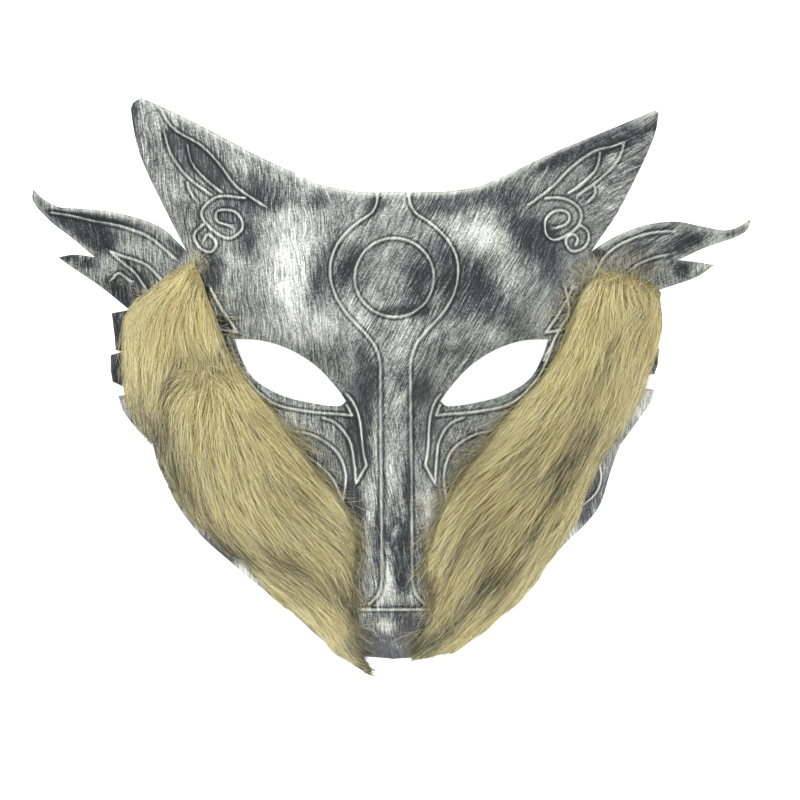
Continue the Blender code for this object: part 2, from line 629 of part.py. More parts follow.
def build_mask():
    outline = shell_outline()
    eyes = [eye_outline(side) for side in SIDES.values()]
    furs = [fur_outline(side) for side in SIDES.values()]
    crests = ridge_lines()
    loops = [outline] + eyes + furs
    rims = [np.vstack([loop, loop[:1]]) for loop in loops]
    lines = []
    for crest in crests:
        for distance in (-RIDGE_WIDTH / 2, 0.0, RIDGE_WIDTH / 2):
            line = shifted(crest, distance)
            covered = inside(furs[0], line) | inside(furs[1], line)
            lines += runs_where(line, inside(outline, line) & ~covered)
    spots = grid(outline, FRONT_STEP, rims + crests, 0.5 * FRONT_STEP)
    places, triangles, _ = plan(loops, lines, spots)
    centres = middles(places, triangles)
    in_fur = [inside(fur, centres) for fur in furs]
    on_shell = inside(outline, centres) & ~inside(eyes[0], centres) & ~inside(eyes[1], centres)

    bare = front_height(places[:, 0], places[:, 1])
    covered = inside(furs[0], places) | inside(furs[1], places)
    near_fur = np.clip(distance_to(rims[3:], places) / RIDGE_WIDTH, 0, 1)
    rise = np.clip(1 - distance_to(crests, places) / (RIDGE_WIDTH / 2), 0, 1)
    relief = RIDGE_HEIGHT * rise * near_fur * ~covered

    build_shell(places, triangles[on_shell], bare + relief)
    for (name, side), fur, chosen in zip(SIDES.items(), furs, in_fur):
        build_fur("fur_" + name, side, fur, places, triangles[chosen], bare)


def build_shell(places, triangles, heights):
    loops = rim_loops(triangles)
    edges = [places[loop] for loop in loops]
    rims = [np.vstack([edge, edge[:1]]) for edge in edges]
    longest = max(range(len(edges)), key=lambda i: len(edges[i]))
    land = shifted(rims[longest], RIM_LAND)
    land = land[inside(edges[longest], land) & (distance_to(rims, land) > 0.8 * RIM_LAND)][::2]
    spots = grid(edges[longest], BACK_STEP, rims + [land], 0.5 * BACK_STEP)
    under, under_triangles, given = plan(edges, [], np.vstack([land, spots]))
    centres = middles(under, under_triangles)
    kept = inside(edges[longest], centres)
    for i, edge in enumerate(edges):
        if i != longest:
            kept &= ~inside(edge, centres)
    pairs = []
    first = 0
    for loop in loops:
        pairs.append((loop, [int(given[first + i]) for i in range(len(loop))]))
        first += len(loop)
    under_heights = back_height(under[:, 0], under[:, 1])
    shell = closed_body("mask_shell", places, triangles, heights,
                        under, under_triangles[kept], under_heights, pairs)
    add_material(shell, "brushed_silver_on_charcoal_plastic", (0.22, 0.22, 0.22), 0.42, 0.35)


def build_fur(name, side, outline, places, triangles, bare):
    loops = rim_loops(triangles)
    edge = places[loops[0]]
    seat = bare + SEAT_GAP * steepness(places[:, 0], places[:, 1])
    top, top_triangles, given = plan([edge], lock_lines(side, edge), [])
    kept = inside(edge, middles(top, top_triangles))
    pile = pile_height(side, edge, top)
    top_seat = front_height(top[:, 0], top[:, 1])
    top_seat = top_seat + SEAT_GAP * steepness(top[:, 0], top[:, 1])
    pairs = [([int(given[i]) for i in range(len(edge))], loops[0])]
    fur = closed_body(name, top, top_triangles[kept], top_seat + pile,
                      places, triangles, seat, pairs)
    add_material(fur, name + "_straw_pile", (0.47, 0.36, 0.16), 0.85, 0.0)


def centre_on_floor():
    """Puts the origin under the middle of the mask, on the surface that it lies on."""
    pieces = list(bpy.data.objects)
    corners = np.array([v.co[:] for piece in pieces for v in piece.data.vertices])
    middle = (corners.min(axis=0) + corners.max(axis=0)) / 2
    for piece in pieces:
        for v in piece.data.vertices:
            v.co.x -= middle[0]
            v.co.y -= middle[1]


build_mask()
centre_on_floor()
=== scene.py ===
# %% [markdown]
# # A werewolf mask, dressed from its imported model
# The object is a carnival mask: one thin plastic moulding with ears, cheek flares and two eye
# holes, brushed with silver paint over charcoal, and a strip of long faux fur glued to each
# cheek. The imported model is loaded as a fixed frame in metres. Everything made here lies in
# that frame, so nothing has to be fitted afterwards.

# %% Load the frame
import json
import math

import bpy
import numpy as np
from mathutils.geometry import delaunay_2d_cdt
from mathutils.kdtree import KDTree
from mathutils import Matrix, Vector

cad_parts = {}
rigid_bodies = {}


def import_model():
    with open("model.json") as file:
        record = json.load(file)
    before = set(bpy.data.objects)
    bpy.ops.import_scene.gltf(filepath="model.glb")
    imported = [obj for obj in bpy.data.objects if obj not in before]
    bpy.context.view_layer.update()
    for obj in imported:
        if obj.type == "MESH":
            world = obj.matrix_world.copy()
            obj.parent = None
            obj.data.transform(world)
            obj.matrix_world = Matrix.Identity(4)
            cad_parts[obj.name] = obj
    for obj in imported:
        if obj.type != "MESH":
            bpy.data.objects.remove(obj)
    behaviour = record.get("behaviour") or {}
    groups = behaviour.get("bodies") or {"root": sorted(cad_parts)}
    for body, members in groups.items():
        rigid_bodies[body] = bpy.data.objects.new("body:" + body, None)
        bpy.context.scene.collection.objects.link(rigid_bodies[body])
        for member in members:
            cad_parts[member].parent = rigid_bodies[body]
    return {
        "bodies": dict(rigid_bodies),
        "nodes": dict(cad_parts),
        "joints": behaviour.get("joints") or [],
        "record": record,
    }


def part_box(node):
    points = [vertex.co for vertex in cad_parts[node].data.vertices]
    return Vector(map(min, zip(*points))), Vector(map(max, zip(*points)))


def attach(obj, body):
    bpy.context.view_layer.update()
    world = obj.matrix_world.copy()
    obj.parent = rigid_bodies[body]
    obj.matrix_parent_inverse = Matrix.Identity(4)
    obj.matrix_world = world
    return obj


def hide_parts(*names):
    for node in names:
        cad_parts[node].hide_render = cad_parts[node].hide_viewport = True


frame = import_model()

scene = bpy.context.scene
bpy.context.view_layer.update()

# %% [markdown]
# ## The camera
# The mask lies face up, so a view of its face is a view from above. The photograph was taken
# from about 1.6 m with a long lens, a little to the viewer's left of the nose. A camera with no
# rotation looks straight down, and one small turn about Y aims it at the middle of the face.

# %% The camera
CAMERA_PLACE = (-0.0657, -0.0052, 1.6)
CAMERA_TURN = math.atan(0.04283)
SENSOR = 36.0
FOCAL_PIXELS = 4457
PHOTO_PIXELS = 800

camera_data = bpy.data.cameras.new("photo_camera")
camera_data.sensor_width = SENSOR
camera_data.lens = SENSOR * FOCAL_PIXELS / PHOTO_PIXELS
camera = bpy.data.objects.new("photo_camera", camera_data)
scene.collection.objects.link(camera)
camera.location = CAMERA_PLACE
camera.rotation_euler = (0.0, -CAMERA_TURN, 0.0)
scene.camera = camera
print("lens", round(camera_data.lens, 1), "mm")

# %% [markdown]
# ## Two small helpers
# Colours are picked as sRGB hex values, as in any paint program, but shaders work in linear
# light, so one function converts them. A second one adds a shader node, sets it up and links
# it, which keeps each material down to a readable list.

# %% Colour and node helpers
def linear(hex_colour):
    """An sRGB hex colour as linear red, green, blue and alpha."""
    values = [int(hex_colour[i:i + 2], 16) / 255 for i in (1, 3, 5)]
    return (*[v / 12.92 if v <= 0.04045 else ((v + 0.055) / 1.055) ** 2.4 for v in values], 1.0)


def node(tree, kind, settings=None, inputs=None):
    """Adds a shader node, changes its settings, and fills or links its inputs."""
    made = tree.nodes.new(kind)
    for name, value in (settings or {}).items():
        setattr(made, name, value)
    for name, value in (inputs or {}).items():
        if isinstance(value, bpy.types.NodeSocket):
            tree.links.new(value, made.inputs[name])
        else:
            made.inputs[name].default_value = value
    return made


def new_material(name):
    """An empty material, with its shader already joined to the output."""
    material = bpy.data.materials.new(name)
    material.use_nodes = True
    tree = material.node_tree
    return material, tree, tree.nodes["Principled BSDF"]


print("white is", linear("#FFFFFF")[:3])

# %% [markdown]
# ## The sizes and the tables of the mask
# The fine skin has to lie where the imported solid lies. It is made from the same sizes and the
# same tables of shares as the solid, only with smaller steps. Shares keep a drawing editable:
# an ear's points are measured along the ear and across its root, so they follow the ear.

# %% Sizes of the face, its holes and its leaves
# Driving sizes of the face, in metres
FACE_HEIGHT = 0.1624
FACE_HALF_WIDTH = 0.099
MASK_DEPTH = 0.084
SHELL_WALL = 0.0016
RIM_THICKNESS = 0.0018
RIM_LAND = 0.0022
DOME_POWER = 2.3

# Raised lines, and the ring on the forehead
RIDGE_WIDTH = 0.0016
RIDGE_HEIGHT = 0.0009
RING_RADIUS = 0.0137
RING_UP = 0.815

# Eye holes: each has its own length, height, tilt and place
EYE_LENGTH = 0.0442
EYE_HEIGHT = 0.0160
EYE_TILT = math.radians(30.0)
EYE_ACROSS = 0.362
EYE_UP = 0.618

# Ears and flares: length from the root, and angle above the level line, pointing outwards
LEFT_EAR_LENGTH = 0.0576
LEFT_EAR_ANGLE = math.radians(46.4)
RIGHT_EAR_LENGTH = 0.0589
RIGHT_EAR_ANGLE = math.radians(41.1)
EAR_TIP_RISE = 0.024
EAR_HOLLOW = 0.0045
LEFT_FLARE_LENGTH = 0.0554
LEFT_FLARE_ANGLE = math.radians(36.3)
RIGHT_FLARE_LENGTH = 0.0501
RIGHT_FLARE_ANGLE = math.radians(22.5)
FLARE_TIP_RISE = 0.008
FLARE_HOLLOW = 0.002

# Fur cheeks: pile height, height at the edge, width of the rounded shoulder, length and number
# of the locks' tips, and the gap between fur and shell
FUR_PILE = 0.0095
FUR_EDGE = 0.0016
FUR_SHOULDER = 0.011
LOCK_TIP = 0.0045
LOCK_TIPS = 15
SEAT_GAP = 0.0003

# Steps of the lines, the scrolls, the front skin and the back skin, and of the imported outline
LINE_STEP = 0.0015
SCROLL_STEP = 0.0008
SKIN_STEP = 0.0019
BACK_STEP = 0.0042
PACKED_STEP = 0.0042
print("face", FACE_HEIGHT, "high,", 2 * FACE_HALF_WIDTH, "wide,", MASK_DEPTH, "deep")

# %% [markdown]
# The relief could be sculpted by hand, but nobody could then change one number of it. So the
# face is a table of a few heights from chin to crown, and a few soft swellings and hollows.

# %% The relief in tables
# The face from chin to crown. Up is a share of the height; dome and nose are shares of the
# depth; bridge, muzzle and reach are shares of the half width.
FACE_ROWS = np.array([
    # up, dome, nose, bridge, muzzle, reach
    (-0.12, 0.38, 0.02, 0.14, 0.32, 0.66),
    (0.00, 0.50, 0.12, 0.14, 0.34, 0.69),
    (0.09, 0.58, 0.36, 0.12, 0.37, 0.73),
    (0.13, 0.60, 0.40, 0.08, 0.37, 0.75),
    (0.25, 0.62, 0.35, 0.055, 0.36, 0.76),
    (0.40, 0.64, 0.27, 0.055, 0.29, 0.82),
    (0.52, 0.66, 0.20, 0.055, 0.20, 0.93),
    (0.62, 0.70, 0.12, 0.055, 0.17, 0.955),
    (0.70, 0.73, 0.05, 0.055, 0.17, 0.96),
    (0.80, 0.74, 0.00, 0.055, 0.17, 0.955),
    (0.90, 0.70, 0.00, 0.055, 0.17, 0.95),
    (1.00, 0.60, 0.00, 0.055, 0.17, 0.93),
    (1.15, 0.40, 0.00, 0.055, 0.17, 0.90),
])
UP, DOME, NOSE, BRIDGE, MUZZLE, REACH = range(6)

# Swellings and hollows, on both sides. Place and spread are shares of the half width and the
# height, the tilt is in degrees, and the rise is a share of the depth.
FACE_FORMS = [
    # across, up, length, breadth, tilt, rise
    (0.36, 0.745, 0.30, 0.085, 30.0, 0.055),
    (0.36, 0.880, 0.20, 0.150, 0.0, 0.030),
    (0.36, 0.612, 0.24, 0.120, 30.0, -0.075),
    (0.30, 0.470, 0.17, 0.110, 25.0, 0.035),
    (0.14, 0.800, 0.07, 0.180, 90.0, -0.020),
    (0.70, 0.720, 0.14, 0.160, 60.0, -0.030),
]
print("relief", len(FACE_ROWS), "rows and", len(FACE_FORMS), "swellings and hollows")

# %% [markdown]
# The outline is the cut edge of the moulding. It is drawn in stretches, and each starts where
# the last one ended, so that the ears, the flares and the small rim tabs keep their corners.

# %% The outline in tables
# Roots of the ear and the flare on each side, as shares across and up the face
LEFT_ROOTS = [(0.281, 1.021), (0.725, 0.877), (0.933, 0.753)]
RIGHT_ROOTS = [(0.308, 1.014), (0.716, 0.877), (0.980, 0.797)]

# The outline of each side from crown to chin. A curve runs smoothly through its points and a
# corner row is straight. Face points are shares across and up; ear and flare points are shares
# along the piece and across its root.
LEFT_OUTLINE = [
    ("curve", "face", [(0.0, 1.0), (0.10, 1.0), (0.19, 1.008), (0.281, 1.021)]),
    ("curve", "ear", [(0.08, -0.95), (0.31, -0.71), (0.59, -0.48), (0.82, -0.27), (1.0, -0.08)]),
    ("curve", "ear", [(1.0, 0.05), (0.97, 0.15)]),
    ("curve", "ear", [(0.85, 0.32), (0.72, 0.48), (0.55, 0.63), (0.35, 0.77), (0.0, 1.0)]),
    ("curve", "flare", [(0.09, -1.06), (0.19, -1.11), (0.30, -1.05), (0.5, -0.76), (0.71, -0.26),
                        (0.79, -0.04), (0.89, 0.04), (1.0, 0.0)]),
    ("curve", "flare", [(0.95, 0.22), (0.78, 0.38), (0.6, 0.40), (0.4, 0.45)]),
    ("curve", "flare", [(0.51, 0.71), (0.57, 1.0)]),
    ("curve", "flare", [(0.44, 0.99), (0.25, 0.96), (0.0, 1.0)]),
    ("corner", "face", [(0.998, 0.746), (0.987, 0.692), (0.984, 0.665), (0.958, 0.661)]),
    ("corner", "face", [(1.002, 0.654), (1.002, 0.621), (0.995, 0.595), (0.955, 0.584)]),
    ("corner", "face", [(0.945, 0.566), (0.973, 0.564)]),
    ("curve", "face", [(0.962, 0.537), (0.90, 0.486), (0.842, 0.453), (0.828, 0.43)]),
    ("curve", "face", [(0.81, 0.394), (0.77, 0.334), (0.72, 0.288), (0.663, 0.25), (0.575, 0.205),
                       (0.475, 0.155), (0.36, 0.10), (0.272, 0.052), (0.18, 0.016), (0.0, 0.0)]),
]
RIGHT_OUTLINE = [
    ("curve", "face", [(0.0, 1.0), (0.10, 1.0), (0.20, 1.003), (0.308, 1.014)]),
    ("curve", "ear", [(0.16, -0.85), (0.45, -0.61), (0.73, -0.32), (1.0, -0.05)]),
    ("curve", "ear", [(1.0, 0.02), (0.97, 0.07)]),
    ("curve", "ear", [(0.9, 0.19), (0.77, 0.35), (0.51, 0.61), (0.25, 0.84), (0.0, 1.0)]),
    ("curve", "flare", [(0.11, -1.08), (0.24, -1.15), (0.47, -1.12), (0.64, -0.85), (0.72, -0.37),
                        (0.80, 0.05), (0.9, 0.08), (1.0, 0.0)]),
    ("curve", "flare", [(0.90, 0.27), (0.8, 0.36), (0.56, 0.30), (0.34, 0.33)]),
    ("curve", "flare", [(0.41, 0.65), (0.46, 0.94)]),
    ("curve", "flare", [(0.29, 1.08), (0.1, 1.04), (0.0, 1.0)]),
    ("corner", "face", [(0.975, 0.72), (0.961, 0.674)]),
    ("corner", "face", [(0.988, 0.668), (0.983, 0.634), (0.972, 0.612), (0.943, 0.610)]),
    ("corner", "face", [(0.938, 0.580), (0.972, 0.578)]),
    ("curve", "face", [(0.957, 0.55), (0.925, 0.521), (0.881, 0.485), (0.842, 0.453)]),
    ("curve", "face", [(0.81, 0.394), (0.77, 0.32), (0.713, 0.28), (0.642, 0.245), (0.548, 0.19),
                       (0.46, 0.14), (0.36, 0.09), (0.272, 0.045), (0.18, 0.012), (0.0, 0.0)]),
]

# The edge of an eye hole, as shares of half its length towards the nose and half its height
EYE_EDGE = [
    ("curve", "eye", [(-1.0, 0.0), (-0.61, 0.53), (-0.15, 0.79), (0.36, 0.71), (0.87, 0.24),
                      (1.0, 0.05)]),
    ("curve", "eye", [(0.97, -0.22), (0.49, -0.82), (0.02, -1.14), (-0.43, -1.09),
                      (-0.78, -0.54), (-1.0, 0.0)]),
]
print("outline stretches", len(LEFT_OUTLINE), "left and", len(RIGHT_OUTLINE), "right")

# %% [markdown]
# The raised lines were cut into the mould as one ornament. The lines of the face are the same on
# both sides, and each ear and flare has its own, since the mould was not quite even.

# %% The raised lines in tables
# Raised lines on both sides of the face
FACE_RIDGES = [
    ("face", [(0.055, 0.998), (0.058, 0.977), (0.076, 0.955), (0.115, 0.938), (0.155, 0.918),
              (0.193, 0.891), (0.216, 0.862), (0.224, 0.831), (0.219, 0.803), (0.203, 0.774),
              (0.175, 0.745), (0.139, 0.719), (0.103, 0.696), (0.07, 0.668), (0.053, 0.635),
              (0.052, 0.60)]),
    ("face", [(0.052, 0.60), (0.052, 0.18)]),
    ("face", [(0.052, 0.18), (0.062, 0.15), (0.095, 0.127)]),
    ("face", [(0.0, 0.115), (0.122, 0.115)]),
    ("eye", [(-1.11, -0.08), (-0.84, -0.71), (-0.5, -1.29), (0.03, -1.60), (0.56, -1.17),
             (0.97, -0.64), (1.19, -0.36)]),
    ("eye", [(1.19, -0.36), (1.04, -0.08)]),
    ("face", [(0.165, 0.567), (0.145, 0.552), (0.124, 0.518), (0.112, 0.445), (0.102, 0.417)]),
    ("face", [(0.102, 0.417), (0.137, 0.378)]),
    ("face", [(0.246, 0.516), (0.206, 0.507), (0.158, 0.470), (0.143, 0.420), (0.137, 0.378)]),
    ("face", [(0.345, 0.488), (0.278, 0.478), (0.202, 0.445), (0.172, 0.400), (0.180, 0.340)]),
    ("face", [(0.330, 0.440), (0.282, 0.425), (0.218, 0.388), (0.180, 0.340)]),
    ("face", [(0.640, 0.793), (0.615, 0.764), (0.580, 0.730), (0.545, 0.700)]),
    ("face", [(0.545, 0.700), (0.600, 0.706)]),
]

# Raised lines of each ear and flare: leaf lines, then the two scrolls
LEFT_RIDGES = [
    ("ear", [(0.88, -0.16), (0.73, -0.10), (0.54, -0.22), (0.39, -0.22), (0.21, -0.17),
             (0.03, -0.25)]),
    ("ear", [(0.74, 0.03), (0.66, 0.12), (0.57, 0.20), (0.40, 0.24), (0.24, 0.18)]),
    ("ear", [(0.59, -0.08), (0.54, -0.01), (0.47, 0.06), (0.30, 0.07), (0.22, 0.04)]),
    ("ear", [(0.38, 0.30), (0.33, 0.36), (0.25, 0.39)]),
    ("flare", [(0.81, 0.21), (0.70, -0.03), (0.57, -0.26), (0.44, -0.52), (0.25, -0.74),
               (0.15, -0.74), (0.03, -0.69)]),
    ("flare", [(0.36, 0.11), (0.25, 0.15), (0.15, 0.17), (0.04, 0.31)]),
    ("flare", [(0.36, 0.11), (0.29, 0.04), (0.13, -0.15), (-0.01, -0.07)]),
    ("flare", [(0.22, 0.59), (0.22, 0.42), (0.13, 0.41)]),
]
LEFT_SCROLLS = [
    ("ear", [(0.12, -0.14), (0.21, 0.14), (0.17, 0.46), (0.05, 0.52), (-0.06, 0.43),
             (-0.04, 0.18), (0.07, 0.10), (0.13, 0.28), (0.08, 0.38), (0.01, 0.30)]),
    ("ear", [(0.10, 0.55), (0.07, 0.76), (-0.02, 0.83), (-0.08, 0.76), (-0.05, 0.62),
             (0.03, 0.61), (0.01, 0.71)]),
]
RIGHT_RIDGES = [
    ("ear", [(0.06, -0.25), (0.22, -0.22), (0.42, -0.25), (0.57, -0.20), (0.66, -0.06),
             (0.72, 0.01)]),
    ("ear", [(0.72, 0.01), (0.60, 0.16), (0.44, 0.20), (0.27, 0.16)]),
    ("ear", [(0.58, -0.12), (0.48, 0.03), (0.31, 0.06), (0.25, 0.03)]),
    ("ear", [(0.37, 0.24), (0.34, 0.32), (0.27, 0.35)]),
    ("flare", [(-0.18, -0.27), (0.01, -0.66), (0.16, -0.84), (0.32, -0.88), (0.45, -0.80),
               (0.55, -0.59)]),
    ("flare", [(0.32, 0.03), (0.24, -0.04), (0.13, -0.03), (0.04, 0.04)]),
]
RIGHT_SCROLLS = [
    ("ear", [(0.143, -0.159), (0.192, -0.02), (0.212, 0.15), (0.202, 0.32), (0.163, 0.46),
             (0.105, 0.535), (0.05, 0.545), (0.0, 0.52), (-0.045, 0.48), (-0.069, 0.41),
             (-0.06, 0.30), (-0.017, 0.18), (0.032, 0.103), (0.09, 0.092), (0.13, 0.16),
             (0.138, 0.27), (0.108, 0.365), (0.063, 0.382), (0.013, 0.317)]),
    ("ear", [(0.112, 0.55), (0.108, 0.683), (0.078, 0.789), (0.022, 0.86), (-0.036, 0.84),
             (-0.065, 0.769), (-0.053, 0.657), (-0.022, 0.576), (0.021, 0.558), (0.04, 0.618),
             (0.02, 0.708), (-0.018, 0.745)]),
]
print("scrolls", len(LEFT_SCROLLS), "left and", len(RIGHT_SCROLLS), "right")

# %% [markdown]
# Each fur cheek was cut from a strip with scissors, so its edge is a plain line that wanders. Two
# lines for each cheek, one by the eye and nose and one by the rim, say where it ends.

# %% The edges of the fur, and both sides together
# Fur cheeks: the edge by the eye and nose, then the edge by the rim, both from temple to chin
LEFT_FUR_INNER = [(0.668, 0.81), (0.626, 0.73), (0.558, 0.64), (0.50, 0.583), (0.43, 0.538),
                  (0.385, 0.490), (0.325, 0.440), (0.262, 0.392), (0.198, 0.340), (0.152, 0.295),
                  (0.137, 0.241), (0.150, 0.184), (0.155, 0.128), (0.15, 0.07), (0.115, 0.012)]
LEFT_FUR_OUTER = [(0.70, 0.858), (0.769, 0.832), (0.831, 0.80), (0.93, 0.757), (0.945, 0.70),
                  (0.94, 0.57), (0.911, 0.528), (0.831, 0.449), (0.802, 0.39), (0.740, 0.330),
                  (0.640, 0.275), (0.580, 0.250), (0.515, 0.215), (0.470, 0.175),
                  (0.440, 0.148), (0.293, 0.085), (0.183, 0.016), (0.075, -0.025)]
RIGHT_FUR_INNER = [(0.705, 0.809), (0.664, 0.769), (0.645, 0.716), (0.603, 0.663),
                   (0.543, 0.605), (0.466, 0.558), (0.405, 0.520), (0.322, 0.450),
                   (0.248, 0.394), (0.190, 0.340), (0.148, 0.298), (0.125, 0.253),
                   (0.100, 0.214), (0.110, 0.184), (0.128, 0.128), (0.115, 0.08), (0.085, 0.020)]
RIGHT_FUR_OUTER = [(0.764, 0.833), (0.843, 0.828), (0.917, 0.821), (0.98, 0.80), (0.99, 0.758),
                   (0.985, 0.70), (0.965, 0.66), (0.940, 0.617), (0.905, 0.570), (0.830, 0.485),
                   (0.780, 0.450), (0.736, 0.420), (0.710, 0.380), (0.698, 0.335),
                   (0.672, 0.300), (0.633, 0.262), (0.541, 0.196), (0.485, 0.145),
                   (0.421, 0.115), (0.285, 0.050), (0.200, 0.023), (0.075, 0.013)]

SIDES = {
    "left": dict(sign=-1.0, roots=LEFT_ROOTS, outline=LEFT_OUTLINE,
                 ridges=LEFT_RIDGES, scrolls=LEFT_SCROLLS,
                 ear=(LEFT_EAR_LENGTH, LEFT_EAR_ANGLE),
                 flare=(LEFT_FLARE_LENGTH, LEFT_FLARE_ANGLE),
                 fur_inner=LEFT_FUR_INNER, fur_outer=LEFT_FUR_OUTER),
    "right": dict(sign=1.0, roots=RIGHT_ROOTS, outline=RIGHT_OUTLINE,
                  ridges=RIGHT_RIDGES, scrolls=RIGHT_SCROLLS,
                  ear=(RIGHT_EAR_LENGTH, RIGHT_EAR_ANGLE),
                  flare=(RIGHT_FLARE_LENGTH, RIGHT_FLARE_ANGLE),
                  fur_inner=RIGHT_FUR_INNER, fur_outer=RIGHT_FUR_OUTER),
}
print("sides", list(SIDES))

# %% [markdown]
# ## Frames, curves and outlines
# A leaf shape such as an ear could be drawn with curve objects, but then its points could not
# be used again for the paint and the fur. Here every line is a plain list of places, made from
# a smooth curve that runs through a few given shares.

# %% Frames that the shares are measured in
def make_frame(origin, along, across):
    """A flat frame: an origin and two vectors, each one share long."""
    return np.array(origin), np.array([along, across]).T


def turned(length, angle, sign):
    """A vector of this length, at this angle above the level line, pointing outwards."""
    return np.array([sign * math.cos(angle), math.sin(angle)]) * length


def side_frames(side):
    """The face, ear, flare and eye frames of one side."""
    sign = side["sign"]
    across = np.array([sign * FACE_HALF_WIDTH, 0.0])
    face = make_frame((0.0, 0.0), across, (0.0, FACE_HEIGHT))
    ear_inner, ear_outer, flare_root = (face[1] @ np.array(root) for root in side["roots"])
    ear = make_frame((ear_inner + ear_outer) / 2, turned(*side["ear"], sign),
                     (ear_outer - ear_inner) / 2)
    flare = make_frame((ear_outer + flare_root) / 2, turned(*side["flare"], sign),
                       (flare_root - ear_outer) / 2)
    towards_nose = -turned(EYE_LENGTH / 2, EYE_TILT, sign)
    eye_up = np.array([-sign * math.sin(EYE_TILT), math.cos(EYE_TILT)]) * EYE_HEIGHT / 2
    eye = make_frame(face[1] @ np.array([EYE_ACROSS, EYE_UP]), towards_nose, eye_up)
    return {"face": face, "ear": ear, "flare": flare, "eye": eye}


for side in SIDES.values():
    side["frames"] = side_frames(side)


def place(frame, shares):
    """Shares in a frame, as places in metres."""
    origin, axes = frame
    return origin + np.array(shares) @ axes.T


def shares_at(frame, x, y):
    """Where places lie in a frame, as two arrays of shares."""
    origin, axes = frame
    found = np.stack([x - origin[0], y - origin[1]], axis=-1) @ np.linalg.inv(axes).T
    return found[..., 0], found[..., 1]


print("left ear's frame starts at", side_frames(SIDES["left"])["ear"][0].round(3))

# %% Smooth curves and closed outlines
def smooth_curve(points, step):
    """A smooth curve through the points, with a place about every step along it."""
    points = np.asarray(points, dtype=float)
    padded = np.vstack([2 * points[0] - points[1], points, 2 * points[-1] - points[-2]])
    places = [points[:1]]
    for i in range(len(points) - 1):
        a, b, c, d = padded[i:i + 4]
        t0 = 0.0
        t1 = t0 + math.sqrt(np.linalg.norm(b - a))
        t2 = t1 + math.sqrt(np.linalg.norm(c - b))
        t3 = t2 + math.sqrt(np.linalg.norm(d - c))
        count = max(1, round(float(np.linalg.norm(c - b)) / step))
        t = (t1 + (t2 - t1) * np.arange(1, count + 1) / count)[:, None]
        ab = (a * (t1 - t) + b * (t - t0)) / (t1 - t0)
        bc = (b * (t2 - t) + c * (t - t1)) / (t2 - t1)
        cd = (c * (t3 - t) + d * (t - t2)) / (t3 - t2)
        abc = (ab * (t2 - t) + bc * (t - t0)) / (t2 - t0)
        bcd = (bc * (t3 - t) + cd * (t - t1)) / (t3 - t1)
        places.append((abc * (t2 - t) + bcd * (t - t1)) / (t2 - t1))
    return np.vstack(places)


def evenly(line, step):
    """The same line with its places about a step apart."""
    lengths = np.concatenate([[0], np.cumsum(np.linalg.norm(np.diff(line, axis=0), axis=1))])
    even = np.linspace(0, lengths[-1], max(2, round(lengths[-1] / step) + 1))
    return np.stack([np.interp(even, lengths, line[:, 0]),
                     np.interp(even, lengths, line[:, 1])], axis=-1)


def runs_where(line, chosen):
    """The stretches of a line whose places are chosen."""
    cuts = np.flatnonzero(np.diff(chosen.astype(int))) + 1
    pieces = zip(np.split(line, cuts), np.split(chosen, cuts))
    return [piece for piece, seen in pieces if seen[0] and len(piece) > 1]


def follow(side, rows, step=LINE_STEP):
    """One line through the rows of an outline, each starting where the last one ended."""
    line = None
    for kind, frame_name, shares in rows:
        points = place(side["frames"][frame_name], shares)
        if line is not None:
            points = np.vstack([line[-1:], points])
        if kind == "curve":
            points = smooth_curve(points, step)
        line = points if line is None else np.vstack([line, points[1:]])
    return line


def shell_outline(step=LINE_STEP):
    """The whole mask's outline, from the crown down the left side and up the right side."""
    left = follow(SIDES["left"], SIDES["left"]["outline"], step)
    right = follow(SIDES["right"], SIDES["right"]["outline"], step)
    return np.vstack([left[:-1], right[:0:-1]])


def eye_outline(side):
    """The edge of one eye hole, as a loop."""
    return follow(side, EYE_EDGE)[:-1]


print("outline places", len(shell_outline()))

# %% [markdown]
# ## The relief as a height over the floor
# A moulded mask has no undercuts: seen from the front, each place has one height. So the face
# can be a function of x and y, built from a dome, a nose and a few soft swellings, and the ears
# and flares are blended into it. A height function is quick, and any piece can ask it where
# the skin is. The back skin lies one wall below, measured square to the slope.

# %% The face's own height
# How softly the face runs out on its rim, in square metres: a curve of about 1 mm
RIM_BLEND = 1.0e-6


def profile(up, column):
    """A column of the face table at these heights, joined by smooth curves."""
    knots = FACE_ROWS[:, UP]
    values = FACE_ROWS[:, column]
    slopes = np.gradient(values, knots)
    up = np.clip(up, knots[0], knots[-1])
    i = np.clip(np.searchsorted(knots, up) - 1, 0, len(knots) - 2)
    gap = knots[i + 1] - knots[i]
    t = (up - knots[i]) / gap
    start = (1 + 2 * t) * (1 - t) ** 2 * values[i] + t * (1 - t) ** 2 * gap * slopes[i]
    end = t ** 2 * (3 - 2 * t) * values[i + 1] - t ** 2 * (1 - t) * gap * slopes[i + 1]
    return start + end


def ease(t):
    """Zero below 0, one above 1, and smooth between."""
    t = np.clip(t, 0.0, 1.0)
    return t * t * (3 - 2 * t)


